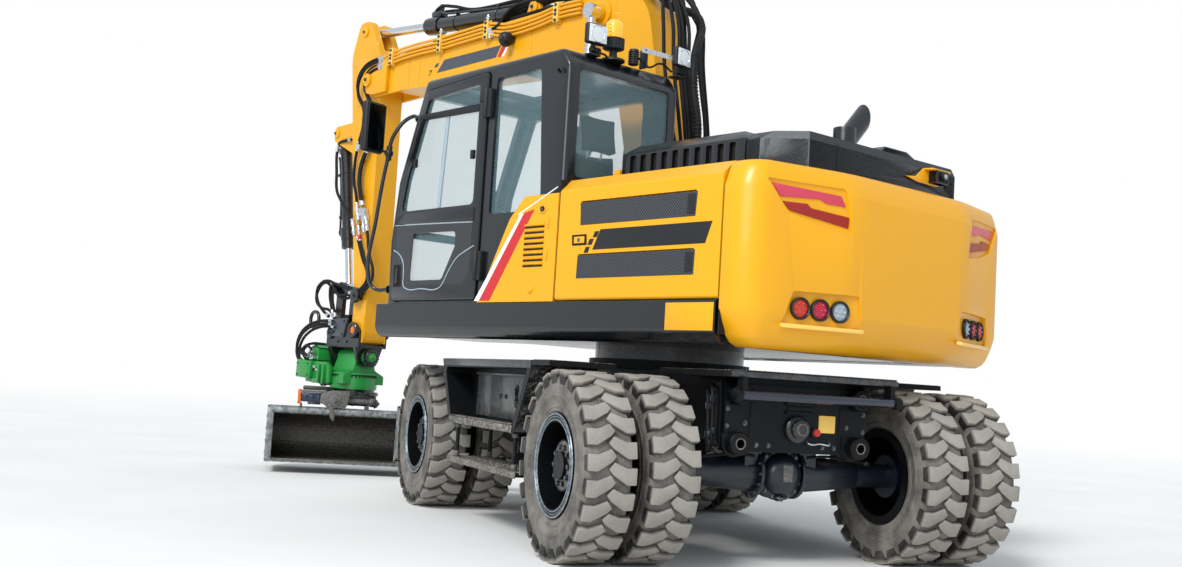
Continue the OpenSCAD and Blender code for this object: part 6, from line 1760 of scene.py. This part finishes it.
def build_axles():
    """Cone, flange and cover of each axle, with their bolts and brake pipes."""
    for node_end, x in (("rear", -AXLE_X), ("front", AXLE_X)):
        out = -1 if x < 0 else 1
        rig = Piece(f"{node_end}_axle_trim", "chassis", MACHINE)
        for s in (1, -1):
            rig.add(axle_navy, bar_of((x, s * 0.12, AXLE_Z), (x, s * 0.56, AXLE_Z), 0.118, 36, 0.004, 0.08))
            rig.add(axle_navy, bar_of((x, s * 0.128, AXLE_Z), (x, s * 0.152, AXLE_Z), 0.152, 40, 0.004))
            rig.add(pin_steel, bolt_ring(14, 0.136, (x, s * 0.152, AXLE_Z), (0, s, 0), 0.01, 0.008))
            if x < 0:
                rig.add(hose_black, tube_of([(x - 0.1, s * 0.18, AXLE_Z + 0.1),
                    (x - 0.115, s * 0.3, AXLE_Z + 0.112), (x - 0.105, s * 0.45, AXLE_Z + 0.095),
                    (x - 0.09, s * 0.6, AXLE_Z + 0.08)], 0.009, 10))
                rig.add(pin_steel, bar_of((x - 0.092, s * 0.585, AXLE_Z + 0.08),
                    (x - 0.088, s * 0.625, AXLE_Z + 0.078), 0.016, 6, 0.002))
        cover = [(0, 0.19), (0.06, 0.186), (0.1, 0.165), (0.12, 0.13), (0.126, 0.105), (0.15, 0.102),
            (0.156, 0.096), (0.156, 0.078), (0.15, 0.07)]
        rig.add(axle_navy, turned_of(cover, (x, 0, AXLE_Z), (out, 0, 0), 44))
        rig.add(pin_steel, bolt_ring(16, 0.14, (x + out * 0.102, 0, AXLE_Z), (out, 0, 0), 0.009, 0.008))
        rig.add(hub_grey, box_of(x + out * 0.17, x + out * 0.196, -0.03, 0.034, 0.49, 0.59, 0.006))
        rig.add(pin_steel, rod_of((x + out * 0.1, 0, 0.395), "z", -0.023, 0.026, 6, 0.004),
            ring_of((x + out * 0.1, 0, 0.392), UP, 0.034, 0.006, 28))
        rig.settle(38)


def build_toolboxes():
    """The boxes' doors and bolts, the tread plates on top, and the grips of the hung steps."""
    rig = Piece("toolbox_trim", "chassis", MACHINE)
    for s in (1, -1):
        def bolt(x, z, y=1.216, r=0.013):
            return bolt_of((x, s * y, z), (0, s, 0), r, 0.01)

        def slab(x0, x1, y0, y1, z0, z1, edge=0.003):
            return box_of(x0, x1, s * y0, s * y1, z0, z1, edge)

        rig.add(dusted, slab(-0.555, 0.24, 1.2005, 1.216, 0.726, 1.03, 0.005),
            slab(0.252, 0.555, 1.2005, 1.212, 0.726, 1.03, 0.005))
        rig.add(dusted, slab(-0.56, 0.56, 1.2, 1.228, 1.01, 1.026, 0.003))
        oval = [(x, z + (0.925 if z > 0 else 0.835)) for x, _, z in circle_of(28, 0.03, (-0.29, 0, 0), LEFT,
            0.5)]
        rig.add(cast_in_shade, cut_plate(oval, "xz", s * 1.216, s * 1.221, 0.002))
        rig.add(pin_steel, slab(-0.297, -0.283, 1.221, 1.236, 0.88, 0.93), bolt(0.03, 0.872),
            bolt(-0.08, 0.872), bolt(-0.43, 0.866), bolt(-0.29, 0.862, 1.221, 0.016))
        rig.add(dusted, slab(-0.94, 0.88, BOX_Y + 0.0005, BOX_Y + 0.004, 1.062, 1.108, 0.001))
        rig.add(trodden, slab(-0.672, 0.655, BOX_Y + 0.0005, BOX_Y + 0.006, RAIL_Z + 0.003, RAIL_Z + 0.047,
            0.001))
        teeth = [slab(-0.66 + 0.034 * i, -0.644 + 0.034 * i, BOX_Y - 0.05, BOX_Y + 0.005, RAIL_Z + 0.0495,
            RAIL_Z + 0.058, 0.002) for i in range(38)]
        rig.add(trodden, *teeth)
        for low, high in (((-0.985, 1.108), (-0.715, 0.672)), ((0.93, 1.108), (0.7, 0.672))):
            dx = -0.004 if low[0] < 0 else 0.004
            face = [low, high, (high[0] + dx, high[1] - 0.001), (low[0] + dx, low[1] - 0.001)]
            rig.add(chipped, cut_plate(face, "xz", s * 0.955, s * 1.366, 0.0))
        rig.add(trodden, slab(-1.236, -0.965, 0.955, 1.366, 1.1105, 1.1135, 0.001))
        rig.add(trodden, slab(-0.762, 0.662, 1.3605, 1.368, 0.392, 0.432, 0.002),
            slab(-0.762, 0.662, 1.062, 1.0695, 0.392, 0.432, 0.002))
        grips = [slab(-0.74 + 0.04 * i, -0.722 + 0.04 * i, 1.075 + 0.048 * j, 1.105 + 0.048 * j, 0.4235,
            0.433, 0.003) for i in range(35) for j in range(6)]
        rig.add(trodden, *grips)
        for x in (-0.64, 0.56):
            for y in (1.33, 1.09):
                rig.add(hub_grey, rod_of((x, s * y, 0.424), "z", 0.046, 0.02, 20, 0.004),
                    rod_of((x, s * y, 0.632), "z", 0.028, 0.02, 20, 0.004))
    rig.settle(34)


def build_blade_edge():
    """The dozer blade's cutting edge, side edges and bolts."""
    rig = Piece("blade_trim", "blade", MACHINE)
    half, low, high = BLADE_HALF, BLADE_LOW, BLADE_LOW + BLADE_TALL
    rig.add(worn, cut_plate([(2.574, low - 0.001), (2.626, low - 0.001), (2.602, low + 0.11),
        (2.552, low + 0.11)], "xz", -half + 0.004, half - 0.004, 0.003))
    for s in (1, -1):
        edge = [(2.498, low + 0.062), (2.622, low + 0.001), (2.602, high), (2.498, high - 0.03)]
        rig.add(pale_steel, cut_plate(edge, "xz", s * (half + 0.001), s * (half + 0.0045), 0.001))
    rig.add(pin_steel, *[bolt_of((2.613, -half + 0.12 + 0.22 * i, low + 0.055), (1, 0, 0.2), 0.014, 0.01)
        for i in range(int((2 * half - 0.2) / 0.22) + 1)])
    rig.settle(36)


build_rear_frame()
build_axles()
build_toolboxes()
build_blade_edge()


def build_right_side():
    """Latch and painted seam shade of the right door, the tank's cap, its step treads and the boom's work
    lamp.
    """
    door_latch("right_door_latch", "side_door_right", -1)
    tank = Piece("tank_trim", "upper")
    tank.add(plastic, turned_of([(0, 0.052), (0.03, 0.052), (0.052, 0.046), (0.06, 0.03), (0.062, 0.0)],
        (0.3, -0.86, 2.18), UP, 40))
    tank.add(pin_steel, rod_of((0.3, -0.86, 2.23), "z", 0.01, 0.014, 20, 0.002))
    grips = [box_of(0.89 + 0.045 * i, 0.915 + 0.045 * i, -1.23 + 0.052 * j, -1.2 + 0.052 * j, 1.699, 1.707,
        0.003) for i in range(5) for j in range(5)]
    tank.add(trodden, box_of(0.886, 1.118, -1.244, -0.966, 1.6995, 1.702, 0.001), *grips)
    # A dark strip along the door's seam: painted shade.
    tank.add(seam_shade, flipped(plate_on([(-0.19, 1.5), (-0.184, 1.5), (-0.184, 2.178), (-0.19, 2.178)],
        0.05, 0.0006)))
    tank.settle()
    lamp_body = Piece("boom_lamp", "boom", BOOM)
    shell = [(0, -0.052), (0.03, -0.05), (0.052, -0.036), (0.062, -0.01), (0.064, 0.022), (0.058, 0.03),
        (0.054, 0.026)]
    lamp_body.add(plastic, turned_of(shell, (2.03, 0.222, 3.8), AHEAD, 36))
    lamp_body.add(white_lens, turned_of([(0, 0.03), (0.03, 0.029), (0.054, 0.022)], (2.03, 0.222, 3.8), AHEAD,
        36))
    lamp_body.add(black, box_of(1.99, 2.02, 0.148, 0.225, 3.775, 3.825, 0.005),
        rod_of((2.005, 0.2, 3.8), "y", 0.09, 0.01, 16, 0.002),
        box_of(1.992, 2.04, 0.282, 0.289, 3.785, 3.815, 0.002))
    lamp_body.settle()


build_right_side()
